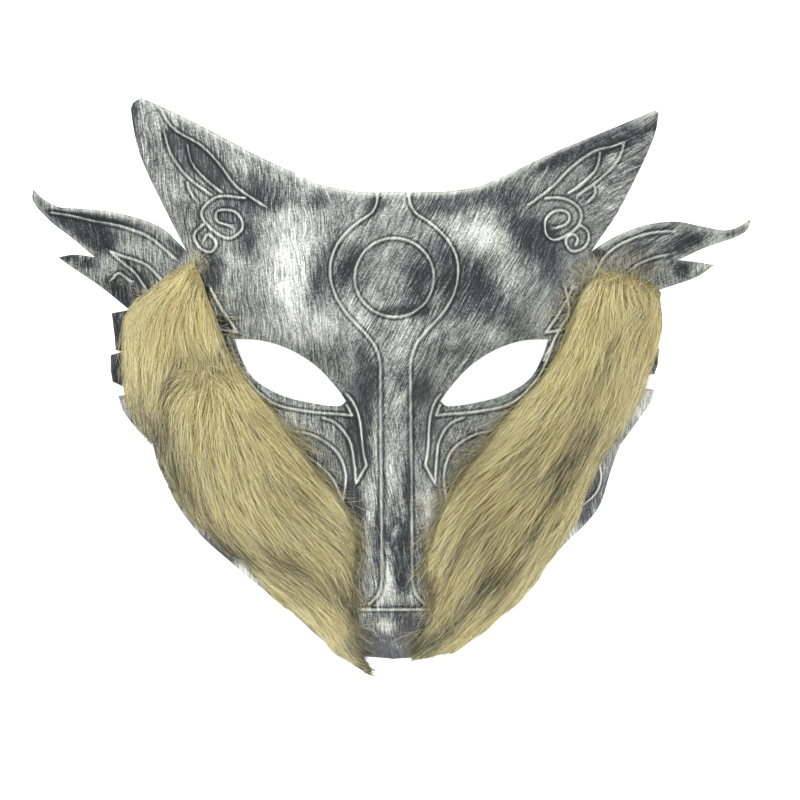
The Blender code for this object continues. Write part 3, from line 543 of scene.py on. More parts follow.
def face_height(x, y):
    """The face without its ears and flares."""
    across = np.abs(x) / FACE_HALF_WIDTH
    up = y / FACE_HEIGHT
    dome = profile(up, DOME) * (1 - (across / profile(up, REACH)) ** DOME_POWER)
    side_slope = (across - profile(up, BRIDGE)) / (profile(up, MUZZLE) - profile(up, BRIDGE))
    height = (dome + profile(up, NOSE) * (1 - ease(side_slope))) * MASK_DEPTH
    for form_across, form_up, length, breadth, tilt, rise in FACE_FORMS:
        dx = (across - form_across) * FACE_HALF_WIDTH
        dy = (up - form_up) * FACE_HEIGHT
        turn = math.radians(tilt)
        along = (dx * math.cos(turn) + dy * math.sin(turn)) / (length * FACE_HALF_WIDTH)
        aside = (dy * math.cos(turn) - dx * math.sin(turn)) / (breadth * FACE_HALF_WIDTH)
        height = height + rise * MASK_DEPTH * np.exp(-along ** 2 - aside ** 2)
    return (height + RIM_THICKNESS + np.sqrt((height - RIM_THICKNESS) ** 2 + RIM_BLEND)) / 2


print("nose height", round(float(face_height(np.array([0.0]), np.array([0.02]))[0]), 4))

# %% [markdown]
# An ear or a flare is a leaf that was pressed with the face. It starts at the face's own height,
# ends at the height of its tip, and is a little hollow along its middle. It takes over from the
# face within the first third of its length, so no crease shows at its root.

# %% The height of the whole skin
LEAF_TAKES_OVER = 0.3
LEAF_HOLLOW_FULL = 0.4
SLOPE_STEP = 0.0004
STEEPEST = 6.0


def leaf_height(frame, along, across, tip_rise, hollow):
    """A leaf that runs from its root on the face to its tip, hollow along its middle."""
    root = place(frame, np.stack([np.zeros_like(across), np.clip(across, -1.1, 1.1)], axis=-1))
    rooted = face_height(root[..., 0], root[..., 1])
    spread = np.clip(np.abs(across) / (1.05 - 0.9 * np.clip(along, 0, 1)), 0, 1)
    dip = hollow * ease(along / LEAF_HOLLOW_FULL) * (1 - np.clip(along, 0, 1)) * (1 - spread ** 2)
    return rooted * (1 - along) + tip_rise * along - dip


def front_height(x, y):
    """The front skin of the whole mask, without its raised lines."""
    height = face_height(x, y)
    for side in SIDES.values():
        ear_along, ear_across = shares_at(side["frames"]["ear"], x, y)
        flare_along, flare_across = shares_at(side["frames"]["flare"], x, y)
        on_ear = (ear_along > 0) & (ear_across <= 1) & (ear_across > -1.2)
        on_flare = (flare_along > 0) & (ear_across > 1) & (np.sign(x) == side["sign"])
        ear = leaf_height(side["frames"]["ear"], ear_along, ear_across, EAR_TIP_RISE, EAR_HOLLOW)
        flare = leaf_height(side["frames"]["flare"], flare_along, flare_across,
                            FLARE_TIP_RISE, FLARE_HOLLOW)
        ear_share = ease(ear_along / LEAF_TAKES_OVER)
        flare_share = ease(flare_along / LEAF_TAKES_OVER)
        height = np.where(on_ear, height + (ear - height) * ear_share, height)
        height = np.where(on_flare, height + (flare - height) * flare_share, height)
    return height


def steepness(x, y):
    """How much longer the wall is when it is measured straight down."""
    step = SLOPE_STEP
    slope_x = (front_height(x + step, y) - front_height(x - step, y)) / (2 * step)
    slope_y = (front_height(x, y + step) - front_height(x, y - step)) / (2 * step)
    return np.sqrt(1 + np.clip(slope_x ** 2 + slope_y ** 2, 0, STEEPEST))


def back_height(x, y):
    """The back skin: one wall below the front, and flat where the rim lies down."""
    height = front_height(x, y) - SHELL_WALL * steepness(x, y)
    return np.where(height < RIM_THICKNESS / 2, 0.0, height)


print("wall on the slope", steepness(np.array([0.03]), np.array([0.05])).round(2), "times")

# %% [markdown]
# ## Raised lines
# The scrolls, the ring and the leaf veins are ribs, about 1.6 mm wide and just under 1 mm high,
# pressed in with the rest. They are kept as lines. A search tree over dense points of those
# lines tells quickly how far any place is from the nearest rib.

# %% Raised lines and distances
def ridge_lines():
    """The middle of each raised line."""
    lines = []
    for side in SIDES.values():
        for frame_name, shares in FACE_RIDGES + side["ridges"]:
            lines.append(smooth_curve(place(side["frames"][frame_name], shares), LINE_STEP))
        for frame_name, shares in side["scrolls"]:
            lines.append(smooth_curve(place(side["frames"][frame_name], shares), SCROLL_STEP))
    sides = round(2 * math.pi * RING_RADIUS / LINE_STEP)
    turns = 2 * math.pi * np.arange(sides + 1) / sides
    ring = np.stack([np.cos(turns), np.sin(turns)], axis=-1) * RING_RADIUS
    lines.append(ring + np.array([0.0, RING_UP * FACE_HEIGHT]))
    return lines


def shifted(line, distance):
    """The line moved sideways, square to its own run."""
    run = np.gradient(line, axis=0)
    run = run / np.linalg.norm(run, axis=1)[:, None]
    return line + distance * np.stack([-run[:, 1], run[:, 0]], axis=-1)


def inside(loop, places):
    """Which places lie inside a closed loop."""
    x, y = places[:, 0], places[:, 1]
    found = np.zeros(len(places), dtype=bool)
    for (x0, y0), (x1, y1) in zip(loop, np.roll(loop, -1, axis=0)):
        crosses = (y0 > y) != (y1 > y)
        if y0 != y1:
            found ^= crosses & (x < (x1 - x0) * (y - y0) / (y1 - y0) + x0)
    return found


def near_lines(lines, places, spacing=0.0001):
    """How far each place is from the nearest of the lines."""
    dense = np.vstack([evenly(line, spacing) for line in lines])
    tree = KDTree(len(dense))
    for i, (x, y) in enumerate(dense.tolist()):
        tree.insert((x, y, 0.0), i)
    tree.balance()
    return np.array([tree.find((x, y, 0.0))[2] for x, y in places.tolist()])


def closed(loop):
    """The loop with its first place again at its end."""
    return np.vstack([loop, loop[:1]])


outline = shell_outline()
eyes = [eye_outline(side) for side in SIDES.values()]
# Two lines beside the right eye and one on the jaw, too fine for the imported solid
FINE_LINES = [
    ("right", [(0.615, 0.795), (0.632, 0.742), (0.600, 0.712), (0.563, 0.668), (0.540, 0.640)]),
    ("right", [(0.640, 0.722), (0.615, 0.684), (0.580, 0.640), (0.548, 0.612)]),
    ("right", [(0.757, 0.423), (0.773, 0.386), (0.766, 0.362), (0.746, 0.344), (0.712, 0.328)]),
]
crests = ridge_lines()
for name, shares in FINE_LINES:
    crests.append(smooth_curve(place(SIDES[name]["frames"]["face"], shares), LINE_STEP))
print("raised lines", len(crests))

# %% [markdown]
# ## The flat plan
# Drawing the mask flat first, as a plan of triangles, keeps the edges exact: the outline, the
# eye holes and the ribs are edges of the plan, and even staggered spots fill the rest. The plan
# is then lifted by the height function, like cloth over a form.

# %% Plans of triangles
# Places closer than this are one place, and how far apart staggered rows lie, in steps
MERGE_MM = 0.02
ROW_SHARE = 0.866


def plan(loops, lines, spots):
    """Triangles over the loops, lines and single spots. Returns places, triangles and the
    number of the new place for each of the loops' own places."""
    places = []
    edges = []
    for run, is_loop in [(loop, True) for loop in loops] + [(line, False) for line in lines]:
        first = len(places)
        places.extend(run)
        edges.extend((first + i, first + i + 1) for i in range(len(run) - 1))
        if is_loop:
            edges.append((first + len(run) - 1, first))
    places.extend(spots)
    millimetres = [(1000 * float(x), 1000 * float(y)) for x, y in places]
    result = delaunay_2d_cdt(millimetres, edges, [], 0, MERGE_MM, True)
    new_places = np.array([tuple(place) for place in result[0]]) / 1000
    triangles = np.array(result[2])
    given = np.full(len(places), -1)
    for new, olds in enumerate(result[3]):
        given[list(olds)] = new
    return new_places, triangles, given


def middles(places, triangles):
    """The middle of each triangle."""
    return places[triangles].mean(axis=1)


def rim_loops(triangles):
    """The directed edges that only one triangle uses, joined into loops."""
    edges = {}
    used = {(int(t[i]), int(t[(i + 1) % 3])) for t in triangles for i in range(3)}
    for start, end in used:
        if (end, start) not in used:
            edges[start] = end
    loops = []
    while edges:
        start = next(iter(edges))
        loop = [start]
        end = edges.pop(start)
        while end != start:
            loop.append(end)
            end = edges.pop(end)
        loops.append(loop)
    return loops


def staggered(loop, step):
    """Spots in even staggered rows inside a loop."""
    low = loop.min(axis=0)
    high = loop.max(axis=0)
    rows = []
    for i, y in enumerate(np.arange(low[1], high[1], step * ROW_SHARE)):
        across = np.arange(low[0] + 0.5 * step * (i % 2), high[0], step)
        rows.append(np.stack([across, np.full(len(across), y)], axis=-1))
    spots = np.vstack(rows)
    return spots[inside(loop, spots)]


def fine_lines(lines, distances, step):
    """Each line and its neighbours on both sides, at an even step."""
    made = []
    for line in lines:
        even = evenly(line, step)
        for distance in distances:
            near = shifted(even, distance)
            made += runs_where(near, inside(outline, near))
    return made


print("a plan of one square has", len(plan([[(0, 0), (1, 0), (1, 1), (0, 1)]], [], [])[1]),
      "triangles")

# %% [markdown]
# A rib is rounded, so the plan has close rows of places on both sides of each rib, and two rows
# beside each cut edge. Places that would crowd a rib or an edge are dropped.

# %% The plan of the front
EDGE_BEVEL = 0.0006
EDGE_ROWS = (-EDGE_BEVEL, EDGE_BEVEL, 2.2 * EDGE_BEVEL, -2.2 * EDGE_BEVEL)
EDGE_ROW_STEP = 0.0013
RIB_ROWS = (-0.0016, -0.0008, -0.0004, 0.0004, 0.0008, 0.0016)
RIB_STEP = 0.0009
CLEAR_OF_RIBS = 0.0024
ROWS_CLEAR_OF_RIBS = 0.0006

rims = [closed(loop) for loop in [outline] + eyes]
rib_lines = fine_lines(crests, (0.0,), RIB_STEP)
rib_sides = np.vstack(fine_lines(crests, RIB_ROWS, RIB_STEP))
edge_rows = np.vstack(fine_lines(rims, EDGE_ROWS, EDGE_ROW_STEP))
spots = staggered(outline, SKIN_STEP)
rim_gap = near_lines(rims, spots)
rib_gap = near_lines(crests, spots)
spots = spots[(rim_gap > 3 * EDGE_BEVEL) & (rib_gap > CLEAR_OF_RIBS)]
edge_rows = edge_rows[near_lines(rims, edge_rows) > 0.8 * EDGE_BEVEL]
edge_rows = edge_rows[near_lines(crests, edge_rows) > ROWS_CLEAR_OF_RIBS]
rib_sides = rib_sides[near_lines(rims, rib_sides) > EDGE_BEVEL]
loose = np.vstack([spots, edge_rows, rib_sides])
places, triangles, _ = plan([outline] + eyes, rib_lines, loose)
centres = middles(places, triangles)
on_shell = inside(outline, centres) & ~inside(eyes[0], centres) & ~inside(eyes[1], centres)
triangles = triangles[on_shell]
print("front plan", len(places), "places", len(triangles), "triangles")

# %% [markdown]
# ## The moulded shell
# The front skin takes the height, plus the ribs and a slightly rounded edge. The crown and the
# inner edges of the ears are turned up into a fine lip. The back skin is coarser, since only
# its curve is seen, and both are joined by a wall along the same edge, so the shell is closed.

# %% Closed skins
SHARP_ANGLE = math.radians(50.0)


def add_attribute(mesh, name, values):
    """Stores one number for each point of a mesh, for its material to read."""
    layer = mesh.attributes.new(name, "FLOAT", "POINT")
    layer.data.foreach_set("value", np.asarray(values, dtype=np.float32))


def closed_mesh(name, top, top_triangles, under, under_triangles, pairs):
    """A closed skin from a front and a back, joined along pairs of loops. Also returns which
    of the front's and back's points it keeps."""
    verts = np.vstack([top, under])
    first = len(top)
    walls = []
    for top_loop, under_loop in pairs:
        for i in range(len(top_loop)):
            a, b = top_loop[i], top_loop[(i + 1) % len(top_loop)]
            c, d = first + under_loop[(i + 1) % len(top_loop)], first + under_loop[i]
            walls += [(b, a, d), (b, d, c)]
    faces = np.vstack([top_triangles, first + under_triangles[:, ::-1], np.array(walls)])
    used = np.unique(faces)
    order = np.full(len(verts), -1)
    order[used] = np.arange(len(used))
    mesh = bpy.data.meshes.new(name)
    mesh.from_pydata(verts[used].tolist(), [], order[faces].tolist())
    mesh.polygons.foreach_set("use_smooth", np.ones(len(faces), dtype=bool))
    mesh.set_sharp_from_angle(angle=SHARP_ANGLE)
    mesh.update()
    piece = bpy.data.objects.new(name, mesh)
    scene.collection.objects.link(piece)
    return piece, used


# %% [markdown]
# The ribs are cosine humps, as a mould with worn cutters leaves them. The lip is strongest a
# little inside the edge, and the bevel takes the sharpness off every cut edge.

# %% The shell's front
LIP_RISE = 0.0004
LIP_WIDTH = 0.0011
LIP_INSET = 0.7
BEVEL_DROP = 0.4

rim_gap = near_lines(rims, places)
rib_gap = near_lines(crests, places)
rib = 0.5 + 0.5 * np.cos(np.pi * np.clip(rib_gap / (0.5 * RIDGE_WIDTH), 0, 1))
crown_lines = [follow(side, side["outline"][:2]) for side in SIDES.values()]
crown_lines += [follow(side, side["outline"][4:6]) for side in SIDES.values()]
crown_gap = near_lines(crown_lines, places)
lip = np.clip(1 - np.abs(crown_gap - LIP_INSET * LIP_WIDTH) / LIP_WIDTH, 0, 1)
bevel = np.clip(1 - rim_gap / (2 * EDGE_BEVEL), 0, 1) ** 2
front = front_height(places[:, 0], places[:, 1])
front = front + RIDGE_HEIGHT * rib + LIP_RISE * lip - BEVEL_DROP * EDGE_BEVEL * bevel
print("front from", round(float(front.min()), 4), "to", round(float(front.max()), 4))

# %% [markdown]
# The back shares the front's edges, place by place, so that the wall between them closes. It has
# one extra row where the flat land of the rim ends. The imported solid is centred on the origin,
# and the last lines read its box to move the fine skin by the same amount.

# %% The shell's back and the closed piece
loops = rim_loops(triangles)
edges = [places[loop] for loop in loops]
longest = max(range(len(edges)), key=lambda i: len(edges[i]))
land = shifted(closed(edges[longest]), RIM_LAND)
land = land[inside(edges[longest], land)]
land = land[near_lines([closed(edge) for edge in edges], land) > 0.8 * RIM_LAND][::3]
spots = staggered(edges[longest], BACK_STEP)
spots = spots[near_lines([closed(edge) for edge in edges] + [land], spots) > 0.5 * BACK_STEP]
under, under_triangles, given = plan(edges, [], np.vstack([land, spots]))
centres = middles(under, under_triangles)
kept = inside(edges[longest], centres)
for i, edge in enumerate(edges):
    if i != longest:
        kept &= ~inside(edge, centres)
pairs = []
first = 0
for loop in loops:
    pairs.append((loop, [int(given[first + i]) for i in range(len(loop))]))
    first += len(loop)
under_z = back_height(under[:, 0], under[:, 1])

cad_low, cad_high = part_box("mask_shell")
packed_outline = shell_outline(PACKED_STEP)
SHIFT = np.array([cad_low[0] - packed_outline[:, 0].min(),
                  cad_high[1] - packed_outline[:, 1].max(), 0.0])
shell, shell_used = closed_mesh("moulded_shell", np.column_stack([places, front]) + SHIFT,
                                triangles, np.column_stack([under, under_z]) + SHIFT,
                                under_triangles[kept], pairs)
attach(shell, "root")
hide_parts("mask_shell")
print("shell", len(shell.data.polygons), "faces, moved by", SHIFT.round(5))

# %% [markdown]
# ## Where the silver, the painted shade and the painted highlights lie
# The maker moulds the mask in charcoal plastic and drags a nearly dry brush of silver over it.
# The brush fills the high places, skips the hollows, and leaves hair-fine streaks along its
# path. Painting a picture by hand would fix one resolution. Instead, soft patches say where
# there is more or less silver, in millimetres on the face, and the shader draws the streaks. A
# few patches are painted light and shade rather than silver: a painted highlight on each brow,
# and painted shade on the steep sides of the nose.

# %% Patches of silver, painted shade and painted highlight
# Across, up, half length across, half length up, turn in degrees, silver; the brow patches
# are painted highlights and the dark nose-side patches painted shade
SILVER_SHADE_AND_HIGHLIGHT_PATCHES = [
    (-34, 144, 7.6, 16.7, 0, 0.24), (-40, 135, 6.9, 10.4, 0, 0.16), (-36, 126, 4.2, 4.2, 0, 0.2),
    (-56, 139, 5.6, 11.8, 0, 0.08), (-51, 147, 3.1, 7.6, 0, -0.35), (-45, 160, 10.4, 3.8, 0, -0.3),
    (-26, 159, 2.8, 2.8, 0, -0.35), (-7, 157, 2.1, 3.5, -20, -0.5), (-27, 131, 2.8, 9.7, 0, -0.28),
    (-22, 141, 2.1, 9.7, -15, -0.25), (-16, 136, 2.8, 8.3, -25, -0.42),
    (-30, 116, 13.8, 6.5, 0, 0.26), (-22, 106, 4.2, 2.8, 0, -0.12), (-12, 107, 1.4, 2.8, 0, -0.3),
    (-9, 98, 2.8, 6.2, 0, -0.42), (-63, 135, 2.8, 6.9, 0, -0.5), (-60, 116, 2.4, 2.4, 0, -0.6),
    (-16, 123, 3.5, 6.2, 30, 0.1), (-15, 149, 2.8, 5.6, -30, 0.15), (30, 150, 8.0, 5.8, 0, 0.27),
    (34, 143, 8.0, 5.8, 0, 0.28), (39, 132, 4.5, 5.2, 0, 0.28), (20, 148, 2.8, 4.9, 0, 0.2),
    (17, 158, 8.3, 3.8, 0, -0.35), (37, 161, 11.1, 4.2, 0, -0.32), (41, 151, 4.2, 5.6, 0, -0.28),
    (49, 145, 6.2, 4.9, 0, -0.38), (55, 140, 4.2, 8.3, 0, -0.38), (30, 130, 7.6, 10.4, 0, -0.42),
    (53, 120, 5.6, 7.6, 0, 0.08), (42, 118, 4.9, 6.2, 0, -0.22), (33, 113, 6.9, 3.1, 0, 0.16),
    (17, 107, 4.9, 2.1, 0, -0.15), (9, 94, 2.8, 4.9, 0, -0.5), (2, 97, 1.7, 3.5, 0, -0.3),
    (52, 102, 1.4, 6.9, 20, -0.4), (8, 131, 4.5, 9.0, 0, -0.42), (3, 121, 7.6, 1.4, 0, -0.42),
    (19, 133, 3.1, 12.5, 0, -0.36), (14, 143, 2.8, 3.5, 0, -0.15), (0, 138, 4.9, 9.0, 0, 0.06),
    (3, 110, 4.2, 6.9, 0, 0.14), (-1, 158, 6.9, 4.9, 0, 0.0), (0, 124, 1.7, 1.4, 0, 0.12),
    (0, 84, 3.1, 18.0, 0, 0.05), (-10, 81, 2.1, 13.2, 0, -0.6), (-8, 76, 1.4, 6.2, 0, 0.32),
    (8, 81, 2.8, 11.1, 0, -0.14), (-14, 79, 2.8, 13.9, 0, -0.34), (14, 79, 2.1, 13.2, 0, -0.1),
    (-15, 55, 2.8, 5.6, 0, -0.6), (4, 60, 1.4, 7.6, 0, -0.4), (1, 41, 3.5, 11.1, 0, -0.5),
    (-9, 57, 2.4, 10.4, 0, 0.14), (9, 57, 2.1, 9.7, 0, 0.06), (-7, 45, 1.0, 10.4, 0, -0.5),
    (-10, 41, 2.1, 6.9, 0, 0.15), (-1, 23, 4.9, 2.1, 0, 0.35), (2, 27, 1.4, 4.9, 0, -0.4),
    (0, 45, 1.0, 1.4, 0, 0.8), (-3, 32, 1.1, 5.0, 0, 0.45), (-5, 24, 1.2, 4.0, -20, 0.4),
    (2, 53, 1.1, 6.0, 0, 0.35), (-2, 66, 1.2, 7.0, 5, 0.3), (-12, 50, 1.2, 8.0, 5, -0.35),
    (11, 50, 1.2, 8.0, -5, 0.3), (9, 38, 1.2, 7.0, 0, -0.3), (-10, 15, 2.8, 2.8, 0, 0.1),
    (4, 12, 4.2, 4.2, 0, -0.5), (-3, 12, 3.4, 2.4, 0, 0.62), (-8, 8, 2.2, 4.0, 0, -0.2),
    (6, 11, 2.0, 3.6, 0, -0.2), (0, 4, 14.0, 8.0, 0, -0.55), (1, 6, 1.6, 4.0, 25, 0.5),
    (5, 36, 1.0, 13.9, 0, 0.1), (-2, 36, 0.9, 17.3, 0, 0.3), (-91, 190, 1.0, 7.6, 0, -0.5),
    (-86, 179, 4.8, 13.9, 20, -0.10), (-77, 182, 2.8, 3.5, 0, -0.5),
    (-67, 176, 3.1, 8.3, 48, -0.6), (-63, 170, 2.4, 6.2, 48, -0.55),
    (-72, 173, 1.7, 5.6, 45, -0.35), (-55, 176, 2.1, 6.9, 55, 0.12),
    (-48, 166, 5.6, 3.5, 0, -0.25), (-77, 162, 2.8, 6.9, 20, 0.1), (-58, 154, 3.5, 3.5, 0, -0.25),
    (-83, 189, 2.8, 3.5, 0, 0.12), (-109, 151, 3.6, 10.0, 68, -0.8),
    (-104, 147, 3.1, 4.9, 60, -0.5), (-114, 155, 2.1, 4.9, 60, -0.5),
    (-100, 154, 1.4, 10.4, 78, -0.5), (-124, 160, 1.4, 3.5, 35, -0.3),
    (-91, 144, 5.6, 2.8, 0, 0.12), (-83, 143, 4.2, 3.1, 0, 0.16), (-114, 141, 2.8, 1.4, 0, -0.5),
    (-107, 139, 2.8, 1.7, 0, -0.4), (-101, 137, 3.5, 2.8, 0, 0.12),
    (-93, 127, 2.8, 5.6, 55, -0.62), (-88, 133, 3.5, 2.8, 0, -0.4),
    (-76, 145, 1.4, 4.5, 40, -0.45), (71, 181, 1.7, 12.5, -62, -0.58),
    (59, 175, 2.1, 7.6, -65, -0.5), (82, 187, 1.4, 5.9, -56, -0.5),
    (90, 185, 1.4, 5.2, -50, -0.45), (85, 182, 1.7, 2.8, -50, -0.45),
    (95, 187, 0.9, 4.5, -15, -0.5), (79, 180, 1.7, 4.5, -55, -0.5),
    (73, 175, 1.4, 4.2, -30, -0.35), (79, 175, 1.7, 2.4, -30, 0.25),
    (65, 181, 0.9, 17.3, -64, 0.25), (61, 155, 6.2, 6.2, 0, 0.04), (50, 149, 5.6, 4.9, 0, -0.4),
    (85, 169, 4.9, 7.6, -25, -0.05), (107, 146, 3.1, 5.2, -70, -0.62),
    (99, 153, 1.4, 5.2, -80, -0.4), (109, 153, 1.0, 5.9, -95, -0.4),
    (92, 146, 3.1, 5.2, -60, -0.25), (124, 150, 1.4, 3.8, -70, -0.45),
    (117, 148, 3.1, 2.1, 0, 0.15), (112, 138, 1.4, 3.1, -80, 0.15), (106, 137, 2.1, 2.1, 0, -0.55),
    (102, 139, 2.8, 1.7, 0, -0.2), (73, 142, 2.8, 2.1, 0, -0.4), (-99, 106, 5.0, 18.0, 0, -0.7),
    (98, 104, 1.4, 4.5, 0, -0.6), (-95, 88, 2.4, 4.2, 0, 0.4), (94, 89, 4.8, 5.5, 0, 0.5),
    (72, 60, 3.0, 8.0, 0, -0.5), (69, 50, 3.0, 3.0, 0, -0.4), (64, 43, 3.0, 3.0, 0, 0.35),
    (-58, 38, 6.0, 3.0, -30, -0.6), (-49, 29, 6.0, 3.0, -35, 0.5),
]


# A patch's edge is a little firmer than a bell curve's
PATCH_POWER = 1.3
PATCH_FALL = 0.7


def patched(patches, x_mm, y_mm, soft=1.0):
    """The sum of soft-edged patches at each place."""
    total = np.zeros(len(x_mm))
    for x, y, across, up, turn, amount in patches:
        c, s = math.cos(math.radians(turn)), math.sin(math.radians(turn))
        dx, dy = x_mm - x, y_mm - y
        u = (dx * c + dy * s) / (across * soft)
        v = (dy * c - dx * s) / (up * soft)
        total += amount * np.exp(-(u * u + v * v) ** PATCH_POWER * PATCH_FALL)
    return total


def stored(top_values, under_values=None):
    """Values for the shell's points: the front's own, then the back's."""
    if under_values is None:
        under_values = np.zeros(len(under))
    return np.concatenate([top_values, under_values])[shell_used]


print("patches of silver", len(SILVER_SHADE_AND_HIGHLIGHT_PATCHES))

# %% [markdown]
# The raised lines catch most of the brush, and their brightness is partly that silver and
# partly a painted highlight. The thin dark line on each side of a raised line is painted shade;
# the skin has no groove there. In a few places the raised lines are less bright.

# %% The shell's painted values
x_mm, y_mm = places[:, 0] * 1000, places[:, 1] * 1000
SILVER_BASE = 0.50
SILVER_LEAST = 0.08
SILVER_MOST = 0.84
# Silver, with the painted highlights on the brows and the painted shade on the nose sides
silver_shade_and_highlight = SILVER_BASE + patched(SILVER_SHADE_AND_HIGHLIGHT_PATCHES, x_mm, y_mm)
silver_shade_and_highlight = np.clip(silver_shade_and_highlight, SILVER_LEAST, SILVER_MOST)
# The painted shade beside each raised line: its place from the middle of the line, and its half
# width
RIB_SHADE_OFF = 0.0009
RIB_SHADE_HALF = 0.0005
groove = np.clip(1 - np.abs(rib_gap - RIB_SHADE_OFF) / RIB_SHADE_HALF, 0, 1)
# Where the raised lines are less bright
DIMMER_LINES = [
    (-6, 60, 3, 60, 0, -0.45), (6, 60, 3, 60, 0, -0.45), (-80, 180, 14, 20, 0, -0.25),
    (-118, 150, 24, 16, 0, -0.3), (75, 178, 20, 14, 0, -0.25), (112, 148, 24, 12, 0, -0.3),
]
# How quickly a rib brightens from its foot to its top, partly with silver and partly with a
# painted highlight, and the lip's share
CREST_RISE = 1.9
CREST_FOOT = 0.7
LIP_SILVER = 0.7
crest = np.maximum(np.clip(CREST_RISE * rib - CREST_FOOT, 0, 1), LIP_SILVER * lip)
crest = crest * np.clip(1.0 + patched(DIMMER_LINES, x_mm, y_mm), 0, 1)
add_attribute(shell.data, "silver_shade_and_highlight", stored(silver_shade_and_highlight))
add_attribute(shell.data, "crest", stored(crest))
add_attribute(shell.data, "groove", stored(groove * (1 - rib)))
add_attribute(shell.data, "painted", stored(np.ones(len(places))))
print("silver from", silver_shade_and_highlight.min().round(2), "to", silver_shade_and_highlight.max().round(2))

# %% [markdown]
# ## Which way the brush went
# The strokes stand nearly upright on the left of the forehead, lean to the right over the ring
# and the right side, and lie flatter on the right ear. Three streak patterns with fixed
# directions are mixed by two soft weights, which is steadier than bending one pattern.

# %% Weights of the brush directions
# Where the strokes lean, where they lie flat, and where they are calm, in patches as above
BRUSH_WEIGHTS = {
    "leaning": [(24, 130, 34, 60, 0, 1.0), (0, 134, 16, 30, 0, 1.0), (40, 160, 30, 30, 0, 0.8)],
    "flat": [(86, 175, 16, 34, -35, 1.1), (44, 100, 18, 9, 35, 0.9), (100, 148, 18, 12, 0, 0.9)],
    "calm": [(-4, 148, 8, 14, 0, 0.6), (-6, 136, 8, 10, 0, 0.3), (62, 155, 9, 9, 0, 0.6),
             (52, 120, 8, 9, 0, 0.5), (-16, 82, 4, 20, 0, 0.8), (-90, 152, 20, 8, 30, 0.6)],
}
for name, patches in BRUSH_WEIGHTS.items():
    weight = np.clip(patched(patches, x_mm, y_mm), 0, 1)
    add_attribute(shell.data, name, stored(weight))
    print(name, "on", round(100 * float((weight > 0.5).mean())), "% of the front's places")

# %% [markdown]
# ## Brushed silver paint over charcoal plastic
# The base is polystyrene or PVC with a soft sheen: dark, not metallic, IOR about 1.5. The paint
# holds aluminium flakes, so it is a little metallic and slightly smoother. Each streak noise is
# stretched along the brush. A bristle is 0.1 to 0.2 mm thick; a pixel of the picture is 0.35 mm,
# so its line is drawn 0.34 mm wide, and 5.5 mm long before the next one takes over.

# %% Streaks along the brush
BRISTLE_LONG = 0.0055
BRISTLE_WIDE = 0.00034
SWATH_TIMES = 4.5
WAVER_LONG = 0.022
WAVER_WIDE = 0.006
BRUSH_TURNS = {"upright": math.radians(97), "leaning": math.radians(62), "flat": math.radians(32)}
# The two patterns that follow the brush: single bristles, and swaths of many
BRUSH_MARKS = {
    "streak": {"Scale": 1.0, "Detail": 1.0, "Roughness": 0.5},
    "swath": {"Scale": 1.0 / SWATH_TIMES, "Detail": 3.0, "Roughness": 0.65},
}

plastic, tree, shader = new_material("brushed_silver_paint_on_moulded_charcoal_plastic")
weights = {}
for name in ("silver_shade_and_highlight", "crest", "groove", "painted", "leaning", "flat", "calm"):
    weights[name] = node(tree, "ShaderNodeAttribute", {"attribute_name": name}).outputs["Fac"]
spot = node(tree, "ShaderNodeTexCoord").outputs["Object"]
waver = node(tree, "ShaderNodeTexNoise", {}, {
    "Vector": spot, "Scale": 1.0 / WAVER_LONG}).outputs["Color"]
brushed_spot = node(tree, "ShaderNodeVectorMath", {"operation": "MULTIPLY_ADD"},
                    {0: waver, 1: (WAVER_WIDE,) * 3, 2: spot}).outputs["Vector"]
made = {mark: {} for mark in BRUSH_MARKS}
for name, turn in BRUSH_TURNS.items():
    along_brush = node(tree, "ShaderNodeMapping", {"vector_type": "TEXTURE"},
                       {"Vector": brushed_spot, "Rotation": (0.0, 0.0, turn),
                        "Scale": (BRISTLE_LONG, BRISTLE_WIDE, BRISTLE_LONG)}).outputs["Vector"]
    for mark, settings in BRUSH_MARKS.items():
        made[mark][name] = node(tree, "ShaderNodeTexNoise", {}, {
            "Vector": along_brush, **settings}).outputs["Fac"]
print("directions", list(BRUSH_TURNS), "marks", list(BRUSH_MARKS))

# %% [markdown]
# Each mark is mixed from its three directions by the weights on the mesh. Two more patterns do
# not follow the brush: blotches of 7 mm, where the brush was wetter, and speckles of 0.7 mm, the
# grain of the moulded plastic, drawn coarser than the real grain so that they show.

# %% How much silver, painted shade and painted highlight there is
BLOTCHES_PER_METRE = 150.0
SPECKLES_PER_METRE = 1400.0
# How far each pattern pulls the silver up and down around its middle value of 0.5
STREAK_PULL = 1.4
SPECKLE_PULL = 0.75
SWATH_PULL = 0.5
BLOTCH_PULL = 0.4
# The painted shade beside the raised lines pulls the silver down
RIB_SHADE_PULL = -0.45
# The share of the streaks that a calm place loses
CALM_SHARE = 0.6
# Brightness on the raised lines, partly silver and partly a painted highlight: from this much, and
# more where the swath is full
CREST_LEAST = 0.34
CREST_SWATH = 1.3

pattern = {}
for mark, directions in made.items():
    value = directions["upright"]
    for name in ("leaning", "flat"):
        value = node(tree, "ShaderNodeMix", {}, {
            0: weights[name], 2: value, 3: directions[name]}).outputs[0]
    pattern[mark] = value
pattern["blotch"] = node(tree, "ShaderNodeTexNoise", {}, {
    "Vector": spot, "Scale": BLOTCHES_PER_METRE, "Detail": 4.0, "Roughness": 0.65}).outputs["Fac"]
pattern["speckle"] = node(tree, "ShaderNodeTexNoise", {}, {
    "Vector": spot, "Scale": SPECKLES_PER_METRE, "Detail": 1.0, "Roughness": 0.6}).outputs["Fac"]

